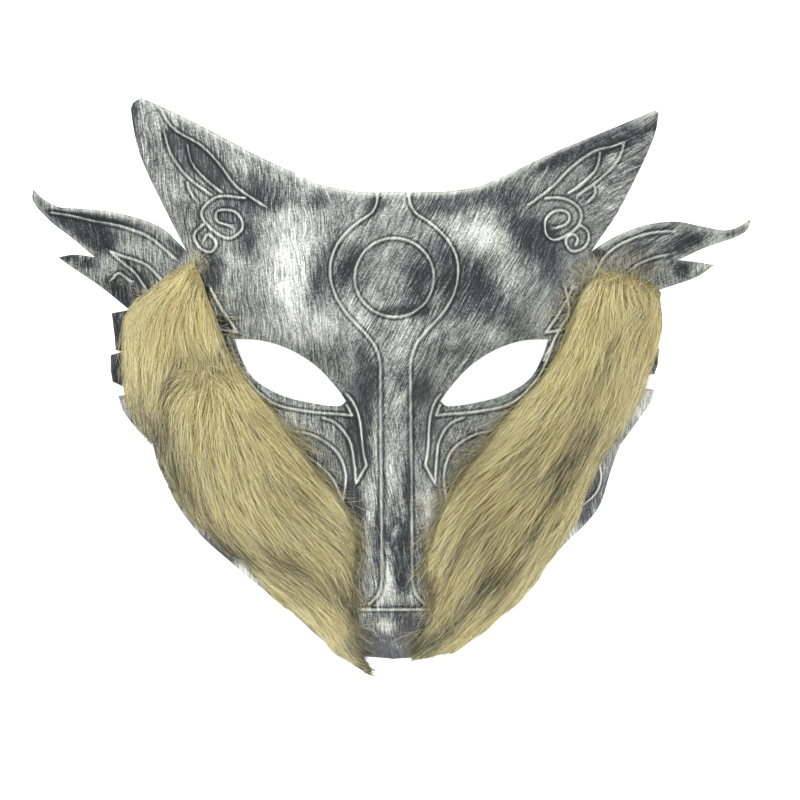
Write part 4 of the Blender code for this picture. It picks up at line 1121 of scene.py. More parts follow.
streak_pull = node(tree, "ShaderNodeMath", {"operation": "MULTIPLY_ADD"}, {
    0: weights["calm"], 1: -CALM_SHARE * STREAK_PULL, 2: STREAK_PULL}).outputs[0]
amount = node(tree, "ShaderNodeMath", {"operation": "MULTIPLY_ADD"}, {
    0: streak_pull, 1: -0.5, 2: weights["silver_shade_and_highlight"]}).outputs[0]
for mark, mark_pull in (("speckle", SPECKLE_PULL), ("swath", SWATH_PULL),
                        ("blotch", BLOTCH_PULL)):
    around = node(tree, "ShaderNodeMath", {"operation": "ADD"}, {
        0: amount, 1: -0.5 * mark_pull}).outputs[0]
    amount = node(tree, "ShaderNodeMath", {"operation": "MULTIPLY_ADD"}, {
        0: pattern[mark], 1: mark_pull, 2: around}).outputs[0]
# The streaks pull the amount up and down, and the painted shade beside the raised lines pulls it
# down
for value, value_pull in ((pattern["streak"], streak_pull), (weights["groove"], RIB_SHADE_PULL)):
    amount = node(tree, "ShaderNodeMath", {"operation": "MULTIPLY_ADD"}, {
        0: value, 1: value_pull, 2: amount}).outputs[0]
# The raised lines' colour: silver and a painted highlight
crest_silver_and_highlight = node(tree, "ShaderNodeMath", {"operation": "MULTIPLY_ADD"}, {
    0: pattern["swath"], 1: CREST_SWATH, 2: CREST_LEAST}).outputs[0]
amount = node(tree, "ShaderNodeMix", {}, {
    0: weights["crest"], 2: amount, 3: crest_silver_and_highlight}).outputs[0]
print("patterns", list(pattern))

# %% [markdown]
# The amount of silver, with the painted shade and highlights in it, picks the colour: bare
# charcoal, a grey film where the paint is thin, and warm silver where it is thick. Thick paint is
# a little more metallic, and a full streak is smoother. The back was never painted, and stays
# charcoal.

# %% The paint's colour and finish
CHARCOAL = "#1F2124"
WORN_GREY = "#55585A"
SILVER_GREY = "#8E918C"
SILVER_LIGHT = "#BFC1B8"
SILVER_BRIGHT = "#E6E7DF"
SILVER_STOPS = [(0.05, CHARCOAL), (0.34, WORN_GREY), (0.58, SILVER_GREY), (0.82, SILVER_LIGHT),
                (1.0, SILVER_BRIGHT)]
FLAKE_METAL = 0.28
BARE_ROUGHNESS = 0.56
STREAK_SMOOTHS = -0.2
PAINT_THICKNESS = 0.00008


def colour_ramp(tree, share, stops):
    """Colours that run through the stops as the share grows."""
    ramp = node(tree, "ShaderNodeValToRGB", {}, {"Fac": share})
    elements = ramp.color_ramp.elements
    while len(elements) < len(stops):
        elements.new(0.5)
    for element, (place_on_ramp, colour) in zip(elements, stops):
        element.position = place_on_ramp
        element.color = linear(colour)
    return ramp.outputs["Color"]


painted = node(tree, "ShaderNodeMix", {"data_type": "RGBA"}, {
    0: weights["painted"], 6: linear(CHARCOAL),
    7: colour_ramp(tree, amount, SILVER_STOPS)}).outputs[2]
metallic = node(tree, "ShaderNodeMath", {"operation": "MULTIPLY"}, {
    0: amount, 1: FLAKE_METAL}).outputs[0]
roughness = node(tree, "ShaderNodeMath", {"operation": "MULTIPLY_ADD"}, {
    0: pattern["streak"], 1: STREAK_SMOOTHS, 2: BARE_ROUGHNESS}).outputs[0]
raised = node(tree, "ShaderNodeBump", {}, {
    "Strength": 0.5, "Distance": PAINT_THICKNESS, "Height": pattern["streak"]}).outputs["Normal"]
for socket, value in (("Base Color", painted), ("Metallic", metallic),
                      ("Roughness", roughness), ("Normal", raised)):
    tree.links.new(value, shader.inputs[socket])
shader.inputs["IOR"].default_value = 1.5
shader.inputs["Specular IOR Level"].default_value = 0.32
shell.data.materials.append(plastic)
print("nodes in the paint", len(tree.nodes))

# %% [markdown]
# ## The fur's backing
# The fur is a strip of long faux fur: acrylic fibre on a knitted backing, cut to the cheek and
# glued down. The imported solid is its volume. Here it becomes a lower, soft backing in the dark
# colour of the roots, so that a gap between fibres shows depth and not plastic. That dark colour
# is painted shade of the deep pile.

# %% The fur's outline and its height
EDGE_STEPS = 120


def fur_edges(side):
    """The two long edges of a fur cheek, with as many places on each."""
    edges = []
    for name in ("fur_inner", "fur_outer"):
        line = smooth_curve(place(side["frames"]["face"], side[name]), LINE_STEP)
        length = np.linalg.norm(np.diff(line, axis=0), axis=1).sum()
        edges.append(evenly(line, length / EDGE_STEPS))
    return edges


def fur_outline(side):
    """The fur's outline, its outer and lower edge cut into the tips of locks."""
    inner, outer = fur_edges(side)
    run = np.gradient(outer, axis=0)
    run = run / np.linalg.norm(run, axis=1)[:, None]
    outward = np.stack([-run[:, 1], run[:, 0]], axis=-1) * side["sign"]
    tips = []
    for i in range(LOCK_TIPS):
        at = [round((i + share) / LOCK_TIPS * (len(outer) - 1)) for share in (0.0, 0.45, 0.85)]
        size = LOCK_TIP * (0.45 + 0.55 * i / LOCK_TIPS)
        tips.append(outer[at[0]])
        tips.append(outer[at[1]] + outward[at[1]] * size * 0.35)
        tips.append(outer[at[2]] + outward[at[2]] * size * 0.5 + run[at[2]] * size * 0.5)
    tips.append(outer[-1])
    return np.vstack([inner[::4], np.array(tips)[::-1]])


def outside_by(rim, places):
    """How far places lie outside a rim; less than nothing inside it."""
    gap = near_lines([rim], places, 0.0003)
    return np.where(inside(rim[:-1], places), -gap, gap)


def pile_at(rim, places, full):
    """The pile's height over the skin, low at the edge and full inside."""
    shoulder = np.clip(-outside_by(rim, places) / FUR_SHOULDER, 0, 1)
    return FUR_EDGE + (full - FUR_EDGE) * np.sqrt(1 - (1 - shoulder) ** 2)


print("fur outline", [len(fur_outline(side)) for side in SIDES.values()], "places")

# %% [markdown]
# The backing is a closed skin like the shell's, made on its own flat plan. Its underside follows
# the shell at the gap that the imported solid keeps, so it rests on it from every side.

# %% Backing of each cheek
FUR_STEP = 0.0032
FUR_RIM_STEP = 0.0018
BACKING_SHARE = 0.42

backings = {}
fur_rims = {}
for name, side in SIDES.items():
    loop = fur_outline(side)
    rim = evenly(closed(loop), FUR_RIM_STEP)
    fur_rims[name] = rim
    spots = staggered(rim[:-1], FUR_STEP)
    spots = spots[near_lines([rim], spots) > 0.5 * FUR_STEP]
    flat, flat_triangles, given = plan([rim[:-1]], [], spots)
    flat_triangles = flat_triangles[inside(rim[:-1], middles(flat, flat_triangles))]
    flat_loop = rim_loops(flat_triangles)[0]
    skin = front_height(flat[:, 0], flat[:, 1])
    seat = skin + SEAT_GAP * steepness(flat[:, 0], flat[:, 1])
    top = seat + BACKING_SHARE * pile_at(rim, flat, FUR_PILE)
    backing, _ = closed_mesh("fur_backing_" + name, np.column_stack([flat, top]) + SHIFT,
                             flat_triangles, np.column_stack([flat, seat]) + SHIFT,
                             flat_triangles, [(flat_loop, flat_loop)])
    backings[name] = backing
    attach(backing, "root")
    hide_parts("fur_" + name)
    print(name, "backing", len(backing.data.polygons), "faces")

# %% [markdown]
# ## Which way the fur is combed
# A fibre lies where the comb left it. A few arrows in millimetres, each with the angle that
# the tips point to, are blended by distance into one smooth flow for each cheek. On the left the
# fur falls from the temple and fans out again below the eye; on the right it sweeps down to the
# muzzle in one run.

# %% The combed flow and its tones
FLOW = {
    "left": [
    (-69, 137, -120), (-78, 132, -142), (-88, 126, -138), (-95, 120, -112), (-83, 125, -112),
    (-78, 117, -96), (-65, 126, -80), (-92, 117, -94), (-88, 102, -88), (-70, 111, -62),
    (-92, 92, -80), (-83, 87, -85), (-70, 91, -112), (-73, 98, -155), (-67, 98, -125),
    (-59, 98, -50), (-78, 92, -112), (-62, 93, -80), (-73, 82, -95), (-63, 87, -86),
    (-53, 91, -48), (-43, 83, -38), (-58, 72, -75), (-48, 63, -60), (-34, 63, -45), (-68, 62, -80),
    (-76, 62, -75), (-71, 52, -66), (-63, 48, -60), (-43, 43, -50), (-29, 48, -45), (-20, 44, -42),
    (-55, 33, -38), (-38, 33, -30), (-43, 26, -35), (-29, 22, -43), (-20, 30, -72), (-20, 10, -62),
    (-12, 0, -22),
    ],
    "right": [
    (72, 133, -140), (80, 130, -110), (72, 125, -128), (81, 125, -55), (89, 121, -148),
    (82, 112, -122), (92, 110, -103), (88, 130, -55), (97, 115, -95), (72, 117, -106),
    (61, 107, -120), (89, 102, -100), (83, 107, -100), (62, 87, -120), (51, 95, -130),
    (41, 63, -134), (43, 79, -142), (29, 68, -148), (15, 30, -122), (15, 44, -126), (89, 87, -110),
    (79, 72, -115), (68, 57, -118), (63, 43, -125), (47, 28, -130), (31, 14, -136), (21, 5, -145),
    (12, 21, -112),
    ],
}
# Across, up, half lengths, turn, and how dark the pile is there: painted shade in the creases
# between locks where positive, painted highlight on the locks where negative
FUR_SHADE_AND_HIGHLIGHT_BANDS = [
    (-82, 79, 5.5, 10.5, 20, 1.1), (-76, 60, 5.5, 10.0, 30, 1.15), (-67, 46, 4.8, 8.0, 45, 1.15),
    (-58, 38, 4.0, 6.5, 50, 1.1), (-63, 108, 8.5, 2.6, 8, 1.0), (-36, 33, 13.2, 3.0, -30, 1.1),
    (-19, 25, 4.2, 6.2, 0, 0.4), (-76, 99, 2.2, 8.5, -28, 0.95), (-66, 96, 5.5, 4.0, 0, -0.5),
    (-89, 90, 2.1, 6.2, 15, 0.5), (-16, 18, 3.1, 9.0, 30, 0.55), (-45, 66, 1.0, 9.0, 28, 0.3),
    (-31, 55, 1.4, 9.0, 42, 0.35), (-16, 41, 2.8, 6.9, 30, 0.6), (-10, -2, 5.0, 4.0, 0, 0.9),
    (-15, 5, 2.6, 7.0, 40, 0.7), (70, 79, 3.0, 7.5, -30, 1.0), (62, 67, 3.3, 7.0, -28, 0.85),
    (54, 50, 2.0, 7.6, -30, 0.6), (42, 34, 4.5, 4.5, -35, 1.0), (35, 29, 3.2, 6.5, -55, 0.95),
    (23, 17, 2.8, 7.0, -45, 0.95), (16, 9, 3.0, 5.5, -30, 0.95), (9, 4, 6.0, 4.0, 0, 0.6),
    (83, 117, 1.3, 5.0, -45, 0.45), (77, 107, 1.5, 7.0, -35, 0.5), (72, 96, 2.0, 9.0, -25, 0.45),
    (60, 62, 14.0, 20.0, -30, 0.12), (-42, 50, 20.0, 18.0, -40, 0.12),
    (30, 36, 12.0, 20.0, -40, 0.12), (-97, 100, 2.5, 16.0, 0, 0.35), (30, 49, 1.4, 10.4, -40, 0.4),
    (51, 76, 1.7, 8.7, -40, 0.35), (20, 35, 1.4, 8.3, -35, 0.3), (12, 22, 2.1, 4.9, 0, 0.4),
    (89, 120, 1.4, 2.8, 0, 0.3), (-43, 23, 2.8, 10.4, 48, -0.5), (-26, 10, 2.8, 8.3, 45, -0.5),
    (65, 48, 2.8, 10.4, -30, -0.5), (48, 29, 2.4, 8.3, -45, -0.4), (28, 13, 2.4, 8.3, -50, -0.4),
    (89, 90, 2.8, 10.4, -15, -0.3), (73, 101, 2.8, 6.9, 0, -0.2), (16, 34, 3.5, 6.9, -30, -0.3),
    (-83, 115, 3.5, 10.4, 0, -0.2), (-57, 73, 5.9, 15.0, 20, -0.4),
]


# Each arrow's pull falls with its distance, and is level within about 3 mm
ARROW_NEAR = 9.0
ARROW_FALL = 1.6


def flow_at(name, x_mm, y_mm):
    """The direction of the fur at each place, as x and y shares."""
    arrows = np.array(FLOW[name], dtype=float)
    gap = (x_mm[:, None] - arrows[:, 0]) ** 2 + (y_mm[:, None] - arrows[:, 1]) ** 2
    pull = 1.0 / (gap + ARROW_NEAR) ** ARROW_FALL
    turn = np.radians(arrows[:, 2])
    run = np.stack([(pull * np.cos(turn)).sum(1), (pull * np.sin(turn)).sum(1)], axis=-1)
    return run / np.linalg.norm(run, axis=1)[:, None]


print("flow at the left cheek", flow_at("left", np.array([-60.0]), np.array([60.0])).round(2))

# %% [markdown]
# ## Fibres
# Blender's own hair would look right in a render but would not be a mesh in the model. So each
# fibre is a closed three-sided spike that follows the flow, rises from the backing and lies
# back down. Real fibres are 0.05 mm thick; here a few fibres are drawn as one spike of about
# 0.16 mm, half a pixel of the picture. Neighbours lean together into tufts, as combed fur does.

# %% Growing the fibres
FIBRE_STEPS = 4
SHORTEST_CUT = 0.35
GATHER_POWER = 1.3


def grow_paths(name, roots, lengths, rng, wander):
    """Plan places along each fibre, from root to tip."""
    at = roots.copy()
    path = [at.copy()]
    own_turn = rng.normal(0.0, wander, len(roots))
    bend = rng.normal(0.0, 0.5 * wander, len(roots))
    for step in range(FIBRE_STEPS - 1):
        run = flow_at(name, at[:, 0] * 1000, at[:, 1] * 1000)
        turn = own_turn + bend * step
        c, s = np.cos(turn), np.sin(turn)
        run = np.stack([run[:, 0] * c - run[:, 1] * s, run[:, 0] * s + run[:, 1] * c], axis=-1)
        at = at + run * (lengths / (FIBRE_STEPS - 1))[:, None]
        path.append(at.copy())
    return np.stack(path, axis=1)


def trimmed(paths, over):
    """Cuts each path off where its overshoot turns positive."""
    steps = paths.shape[1]
    keep = np.full(len(paths), steps - 1.0)
    for i in range(steps - 2, -1, -1):
        crossing = (over[:, i] <= 0) & (over[:, i + 1] > 0)
        keep = np.where(crossing, i - over[:, i] / (over[:, i + 1] - over[:, i] + 1e-9), keep)
    keep = np.where(over[:, 0] > 0, SHORTEST_CUT, np.maximum(keep, SHORTEST_CUT))
    at = keep[:, None] * np.linspace(0, 1, steps)[None, :]
    low = np.minimum(at.astype(int), steps - 2)
    share = (at - low)[:, :, None]
    rows = np.arange(len(paths))[:, None]
    return paths[rows, low] * (1 - share) + paths[rows, low + 1] * share


def gather(paths, tuft_paths, strength):
    """Draws each path towards the path of its nearest tuft, most at the tip."""
    tree = KDTree(len(tuft_paths))
    for i, (x, y) in enumerate(tuft_paths[:, 0].tolist()):
        tree.insert((x, y, 0.0), i)
    tree.balance()
    nearest = np.array([tree.find((x, y, 0.0))[1] for x, y in paths[:, 0].tolist()])
    pull = strength[:, None] * np.linspace(0, 1, FIBRE_STEPS)[None, :] ** GATHER_POWER
    towards = tuft_paths[nearest]
    return paths + (towards - paths) * pull[:, :, None], nearest


print("each fibre has", FIBRE_STEPS, "places")

# %% [markdown]
# All spikes of a piece are one mesh, made from one pattern of triangles that is repeated for
# each spike. Each point keeps how far along its fibre it lies, for the material to read.

# %% One mesh of many spikes
SIDE_COUNT = 3
# The spike's thickness at its root, its belly and near its tip
TAPER = np.array([0.8, 1.0, 0.7])


def spikes(name, paths, radius):
    """One mesh of closed three-sided spikes along the paths."""
    count = len(paths)
    run = np.gradient(paths, axis=1)
    run /= np.linalg.norm(run, axis=2)[:, :, None]
    side = np.cross(run, np.array([0.0, 0.0, 1.0]))
    side /= np.linalg.norm(side, axis=2)[:, :, None]
    up = np.cross(side, run)
    taper = TAPER[None, :] * radius[:, None]
    rings = []
    for k in range(SIDE_COUNT):
        turn = 2 * math.pi * k / SIDE_COUNT + math.pi / 2
        offset = math.cos(turn) * side[:, :-1] + math.sin(turn) * up[:, :-1]
        rings.append(paths[:, :-1] + offset * taper[:, :, None])
    rings = np.stack(rings, axis=2).reshape(count, -1, 3)
    verts = np.concatenate([rings, paths[:, -1:]], axis=1)
    per_fibre = verts.shape[1]
    pattern = [(0, 2, 1)]
    for i in range(FIBRE_STEPS - 2):
        a, b = SIDE_COUNT * i, SIDE_COUNT * (i + 1)
        for k in range(SIDE_COUNT):
            n = (k + 1) % SIDE_COUNT
            pattern += [(a + k, a + n, b + n), (a + k, b + n, b + k)]
    last = SIDE_COUNT * (FIBRE_STEPS - 2)
    for k in range(SIDE_COUNT):
        pattern.append((last + k, last + (k + 1) % SIDE_COUNT, per_fibre - 1))
    firsts = (np.arange(count) * per_fibre)[:, None, None]
    faces = (np.array(pattern)[None] + firsts).reshape(-1, 3)
    mesh = bpy.data.meshes.new(name)
    mesh.from_pydata(verts.reshape(-1, 3).tolist(), [], faces.tolist())
    mesh.polygons.foreach_set("use_smooth", np.ones(len(faces), dtype=bool))
    mesh.update()
    piece = bpy.data.objects.new(name, mesh)
    scene.collection.objects.link(piece)
    along = np.append(np.repeat(np.linspace(0, 1, FIBRE_STEPS)[:-1], SIDE_COUNT), 1.0)
    add_attribute(mesh, "along", np.tile(along, count))
    return piece, per_fibre


print("triangles in a spike", 2 * SIDE_COUNT * (FIBRE_STEPS - 2) + SIDE_COUNT + 1)

# %% [markdown]
# ## Filling both cheeks
# The roots are spread at random over the backing, from one fixed seed so that every run gives
# the same fur. Fibres end a little past the fur's edge where they lie on plastic, and hardly
# past the mask's own edge, where the maker trimmed them. On the left the upper fur stops at a
# parting below the temple, where the lower fur fans out from its own crown.

# %% Where fibres have to end
PARTING = {"left": ((-0.086, 0.095), (-0.044, 0.106))}
PARTING_START = -0.077
shell_rim = closed(outline)


def overshoot(name, paths, on_plastic, in_air):
    """How far each place of each path is past the edge that ends it."""
    flat = paths.reshape(-1, 2)
    past_fur = outside_by(fur_rims[name], flat).reshape(paths.shape[:2])
    past_shell = outside_by(shell_rim, flat).reshape(paths.shape[:2])
    over = np.maximum(past_fur - on_plastic[:, None],
                      np.minimum(past_fur, past_shell) - in_air[:, None])
    for eye in eyes:
        over = np.maximum(over, -outside_by(closed(eye), flat).reshape(over.shape)
                          - 0.5 * in_air[:, None])
    if name in PARTING:
        (x0, y0), (x1, y1) = PARTING[name]
        below = y0 + (y1 - y0) * (paths[:, :, 0] - x0) / (x1 - x0) - paths[:, :, 1]
        above = (below[:, 0] < 0) & (paths[:, 0, 0] > PARTING_START + 3 * on_plastic)
        over = np.where(above[:, None], np.maximum(over, below - 3 * on_plastic[:, None]), over)
    return over


print("the parting runs from", PARTING["left"][0], "to", PARTING["left"][1])

# %% [markdown]
# Two helpers for the colour: the middle of the cheek, since the side by the eye and nose has the
# darker fringe, and locks, since fibres that were dyed and combed together share a tone.

# %% The cheek's middle and its locks
def side_middle(name, up):
    """How far across the middle of the fur lies, at each height."""
    inner, outer = fur_edges(SIDES[name])
    middle_line = 0.5 * (inner + outer)
    order = np.argsort(middle_line[:, 1])
    return np.interp(up, middle_line[order, 1], middle_line[order, 0])


def nearest_tone(places, spacing, rng):
    """A random tone for each place, the same for all places in one lock."""
    low, high = places.min(axis=0), places.max(axis=0)
    middles_of_locks = rng.uniform(low, high, (int(np.prod(high - low) / spacing ** 2), 2))
    tree = KDTree(len(middles_of_locks))
    for i, (x, y) in enumerate(middles_of_locks.tolist()):
        tree.insert((x, y, 0.0), i)
    tree.balance()
    tones_of_locks = rng.normal(0.0, 1.0, len(middles_of_locks))
    return np.array([tones_of_locks[tree.find((x, y, 0.0))[1]] for x, y in places.tolist()])


print("middle of the left cheek", side_middle("left", np.array([0.06])).round(3))

# %% [markdown]
# ## Loose wisps
# At the top of each cheek, beside the eyes and along the nose, thin dark wisps spread over the
# plastic. A short table says where each starts, where it points and how wide it spreads.

# %% Loose wisps
# Across, up, direction, spread, length in mm, fibres
WISPS = {
    "left": [(-68, 137, 100, 30, 4, 90), (-76, 132, 150, 25, 3, 50), (-85, 127, 150, 25, 3, 50),
             (-62, 126, -30, 20, 5, 25), (-61, 117, -30, 20, 6, 25), (-60, 109, -20, 20, 8, 50),
             (-58, 103, -10, 20, 9, 50), (-54, 94, -30, 20, 9, 40), (-46, 87, -32, 15, 11, 40),
             (-41, 82, -25, 15, 13, 50), (-36, 75, -30, 15, 13, 50), (-30, 66, -42, 15, 12, 45),
             (-24, 58, -48, 18, 11, 45), (-18, 50, -60, 20, 10, 60), (-15, 38, -70, 25, 9, 60),
             (-16, 24, -60, 25, 9, 60), (-14, 10, -40, 25, 8, 60),
             (-68, 103, -170, 40, 12, 130), (-65, 101, -65, 50, 15, 240)],
    "right": [(69, 130, 130, 50, 10, 45), (74, 132, 110, 50, 10, 50), (80, 132, 85, 50, 11, 50),
              (86, 130, 60, 45, 11, 60), (91, 127, 30, 40, 9, 45), (66, 126, 175, 40, 10, 35),
              (65, 120, -175, 30, 9, 30), (64, 111, -150, 20, 8, 40), (59, 101, -145, 20, 9, 45),
              (53, 93, -145, 18, 11, 50), (45, 85, -150, 15, 14, 60), (38, 78, -152, 15, 15, 60),
              (31, 70, -150, 15, 14, 60), (24, 62, -148, 15, 12, 60), (18, 54, -142, 18, 10, 60),
              (13, 45, -130, 20, 9, 60), (11, 34, -115, 25, 8, 60), (12, 20, -120, 25, 8, 60),
              (11, 8, -150, 25, 9, 70)],
}


# How widely the roots of a wisp are spread, and how much its fibres bend from step to step
WISP_ROOT = 0.0026
WISP_BEND = 0.35


def wisp_paths(name, rng):
    """Plan places of the loose fibres of every wisp on one side."""
    made = []
    for x, y, direction, spread, length, count in WISPS[name]:
        root = np.array([x, y]) / 1000 + rng.normal(0, WISP_ROOT, (count, 2))
        turn = np.radians(direction + rng.normal(0, spread, count))
        bend = rng.normal(0, WISP_BEND, count)
        reach = length / 1000 * rng.uniform(0.5, 1.25, count)
        at = root.copy()
        path = [at.copy()]
        for step in range(FIBRE_STEPS - 1):
            run = np.stack([np.cos(turn + bend * step), np.sin(turn + bend * step)], axis=-1)
            at = at + run * (reach / (FIBRE_STEPS - 1))[:, None]
            path.append(at.copy())
        made.append(np.stack(path, axis=1))
    return np.concatenate(made)


print("loose fibres", {name: sum(row[-1] for row in rows) for name, rows in WISPS.items()})

# %% [markdown]
# Roots are drawn at random in the box around the cheek and kept where they fall inside it. Some
# start close to the edge, since the cut edge of a strip shows more fibre ends than its middle.

# %% Random roots
ROOT_TRIES = 5
EDGE_TRIES = 4
EDGE_SPREAD = 0.0013


def roots_inside(name, count, rng):
    """Random places inside the fur's outline."""
    rim = fur_rims[name]
    found = rng.uniform(rim.min(axis=0), rim.max(axis=0), (ROOT_TRIES * count, 2))
    return found[inside(rim[:-1], found)][:count]


def roots_at_edge(name, count, rng):
    """Random places close inside the fur's outline."""
    rim = fur_rims[name]
    tries = EDGE_TRIES * count
    found = rim[rng.integers(0, len(rim), tries)] + rng.normal(0, EDGE_SPREAD, (tries, 2))
    return found[inside(rim[:-1], found)][:count]


print("tries for each root", ROOT_TRIES, "inside and", EDGE_TRIES, "at the edge")

# %% [markdown]
# Most fibres lean towards the tuft beside them. A few strays stand free, bow sideways and may
# cross the plastic. Lengths are those of long faux fur after trimming, 13 to 28 mm.

# %% Combing the fibres of one piece
STRAY_SHARE = 0.05
SHORTEST, LONGEST = 0.013, 0.028
FIBRE_WANDER = 0.13
STRAY_BOW = 0.0018
MOST_GATHERED = 0.55


def combed(name, roots, tuft_paths, rng):
    """Plan places of the fibres, the tuft that each leans to, and which are strays."""
    count = len(roots)
    stray = rng.random(count) < STRAY_SHARE
    lengths = rng.uniform(SHORTEST, LONGEST, count)
    paths = grow_paths(name, roots, lengths, rng, FIBRE_WANDER)
    bow = rng.normal(0, STRAY_BOW, (count, 1, 2)) * np.linspace(0, 1, FIBRE_STEPS)[:, None] ** 2
    paths = paths + stray[:, None, None] * bow
    strength = np.where(stray, 0.0, rng.uniform(0.0, MOST_GATHERED, count))
    paths, nearest = gather(paths, tuft_paths, strength)
    return paths, nearest, stray


print("strays", STRAY_SHARE, "of all fibres")

# %% [markdown]
# The maker trimmed the fur with scissors, so most fibres end within half a millimetre of the
# edge. One in ten is wispy and reaches further over the plastic, and strays reach furthest.

# %% How far fibres may pass the edge
WISPY_SHARE = 0.1
WISPY_REACH, CUT_REACH = 0.0015, 0.0004
STRAY_REACH = (0.0005, 0.008)
STRAY_IN_AIR = (0.0, 0.0016)
CUT_IN_AIR = 0.00018
# The shapes of the two gamma spreads: many fibres end early, and a few late
REACH_SHAPE, AIR_SHAPE = 1.4, 1.5


def edge_limits(stray, rng):
    """How far each fibre may pass the fur's edge, on plastic and in the air."""
    count = len(stray)
    wispy = rng.random(count) < WISPY_SHARE
    on_plastic = np.where(wispy, WISPY_REACH, CUT_REACH) * rng.gamma(REACH_SHAPE, 1.0, count)
    on_plastic = np.where(stray, rng.uniform(*STRAY_REACH, count), on_plastic)
    in_air = np.where(stray, rng.uniform(*STRAY_IN_AIR, count),
                      rng.gamma(AIR_SHAPE, CUT_IN_AIR, count))
    return on_plastic, in_air


print("a cut fibre passes the edge by about", 1000 * REACH_SHAPE * CUT_REACH, "mm")

# %% [markdown]
# Each fibre gets its own layer of the pile at random, so some fill the depth and some make the
# surface. It stands low at its root, rises over the backing and sinks a little at its tip.

# %% Lifting the fibres
SKIN_CLEARANCE = 0.0005
PILE_EXTRA = 0.001
LOWEST_FIBRE = 0.0012
RISE = np.array([0.05, 0.85, 1.0, 0.85])


def lifted(name, paths, layer, stray):
    """The plan places with their heights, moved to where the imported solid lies."""
    flat = paths.reshape(-1, 2)
    skin = front_height(flat[:, 0], flat[:, 1]).reshape(len(paths), -1)
    pile = pile_at(fur_rims[name], flat, FUR_PILE + PILE_EXTRA).reshape(len(paths), -1)
    z = (skin + SKIN_CLEARANCE + pile * layer * RISE[None, :]
         + np.where(stray, SKIN_CLEARANCE, 0.0)[:, None])
    z = np.maximum(z, LOWEST_FIBRE)
    return np.concatenate([paths, z[:, :, None]], axis=2) + SHIFT


print("pile with its fibres", 1000 * (FUR_PILE + PILE_EXTRA), "mm")

# %% [markdown]
# Dyed fur is never one colour. A fibre's tone comes from its lock, its tuft, its layer and a
# little chance; fibres lower in the pile are darker. Light bands of painted highlight on the locks
# lift it. Dark bands of painted shade in the creases between locks, brown fibres that grow
# denser low down, and a darker fringe by the eye and nose are laid over it as a second number.

# %% The tones of the fibres
# How strongly each cause moves a fibre's tone from the middle one
TONE_MIDDLE = 0.5
LOCK_TONE = 0.08
TUFT_TONE = 0.06
OWN_TONE = 0.28
LAYER_TONE = 0.2
# Light bands are painted highlights on the locks
HIGHLIGHT_BAND_TONE = 0.25
BAND_SOFTNESS = 1.1
# Brown fibres: their share at the top, the extra share low down, and the extra share in a dark
# band, where they add to its painted shade
BROWN_SHARES = (0.04, 0.14, 0.45)
BROWN_BELOW, BROWN_OVER = 0.118, 0.04
BAND_SHADE = 0.35
FRINGE_WIDTH = 0.003
OUTER_FRINGE = 0.4


def fibre_tones(plan_middle, layer, lock, tuft_tone, rng):
    """Two numbers for each fibre: its tone, and the band's painted shade at its place, negative
    where the band is a painted highlight.
    """
    # The bands: painted shade between locks, and painted highlights where negative
    dark = patched(FUR_SHADE_AND_HIGHLIGHT_BANDS, plan_middle[:, 0] * 1000, plan_middle[:, 1] * 1000, BAND_SOFTNESS)
    tone = (TONE_MIDDLE + LOCK_TONE * lock + TUFT_TONE * tuft_tone
            + rng.normal(0, OWN_TONE, len(plan_middle))
            + LAYER_TONE * (layer[:, 0] - 0.6) - HIGHLIGHT_BAND_TONE * np.minimum(dark, 0))
    return tone, dark * np.clip(0.85 + 0.35 * lock, 0.2, 1.3)


def fibre_shades(name, paths, plan_middle, dark, rng):
    """How far each fibre's colour goes towards the dark olive one."""
    count = len(paths)
    top, low, band = BROWN_SHARES
    low_down = np.clip((BROWN_BELOW - plan_middle[:, 1]) / BROWN_OVER, 0, 1)
    brown = rng.random(count) < top + low * low_down + band * np.clip(dark, 0, 1)
    # A dark band adds painted shade; brown fibres are the fur's own colour
    shade = BAND_SHADE * np.clip(dark, 0, 1) + brown * rng.uniform(0.3, 0.95, count)
    past_edge = outside_by(fur_rims[name], paths[:, -1, :2] - SHIFT[:2])
    by_the_nose = np.abs(plan_middle[:, 0]) < np.abs(side_middle(name, plan_middle[:, 1]))
    fringe = np.where(by_the_nose, 1.0, OUTER_FRINGE)
    shade += fringe * np.clip(past_edge / FRINGE_WIDTH + 0.2, 0, 1) * rng.uniform(0.0, 0.8, count)
    return np.clip(shade, 0, 1)


print("dark and light bands", len(FUR_SHADE_AND_HIGHLIGHT_BANDS))

# %% [markdown]
# Each cheek is made as two pieces, so that none grows too heavy to edit. The loose wisps are
# shared out between them, and take their colour from a random tuft.

# %% Both cheeks of fur
FIBRES_PER_PIECE = 11900
PIECES_PER_CHEEK = 2
EDGE_SHARE = 0.10
FIRST_SEED = 7
# Tufts: their spacing, the share of the box that the cheek fills, lengths and wander
TUFT_SPACING = 0.0034
CHEEK_SHARE = 0.45
TUFT_LENGTHS = (0.020, 0.030)
TUFT_WANDER = 0.18
# How far a wisp may reach over plastic and in the air, and the width of a lock
WISP_REACH, WISP_IN_AIR = 0.02, 0.0006
LOCK_WIDTH = 0.008
LAYERS = (0.25, 1.0)
FIBRE_RADIUS = 0.000078
RADIUS_SPREAD = (0.75, 1.25)
STRAY_RADIUS = 0.75

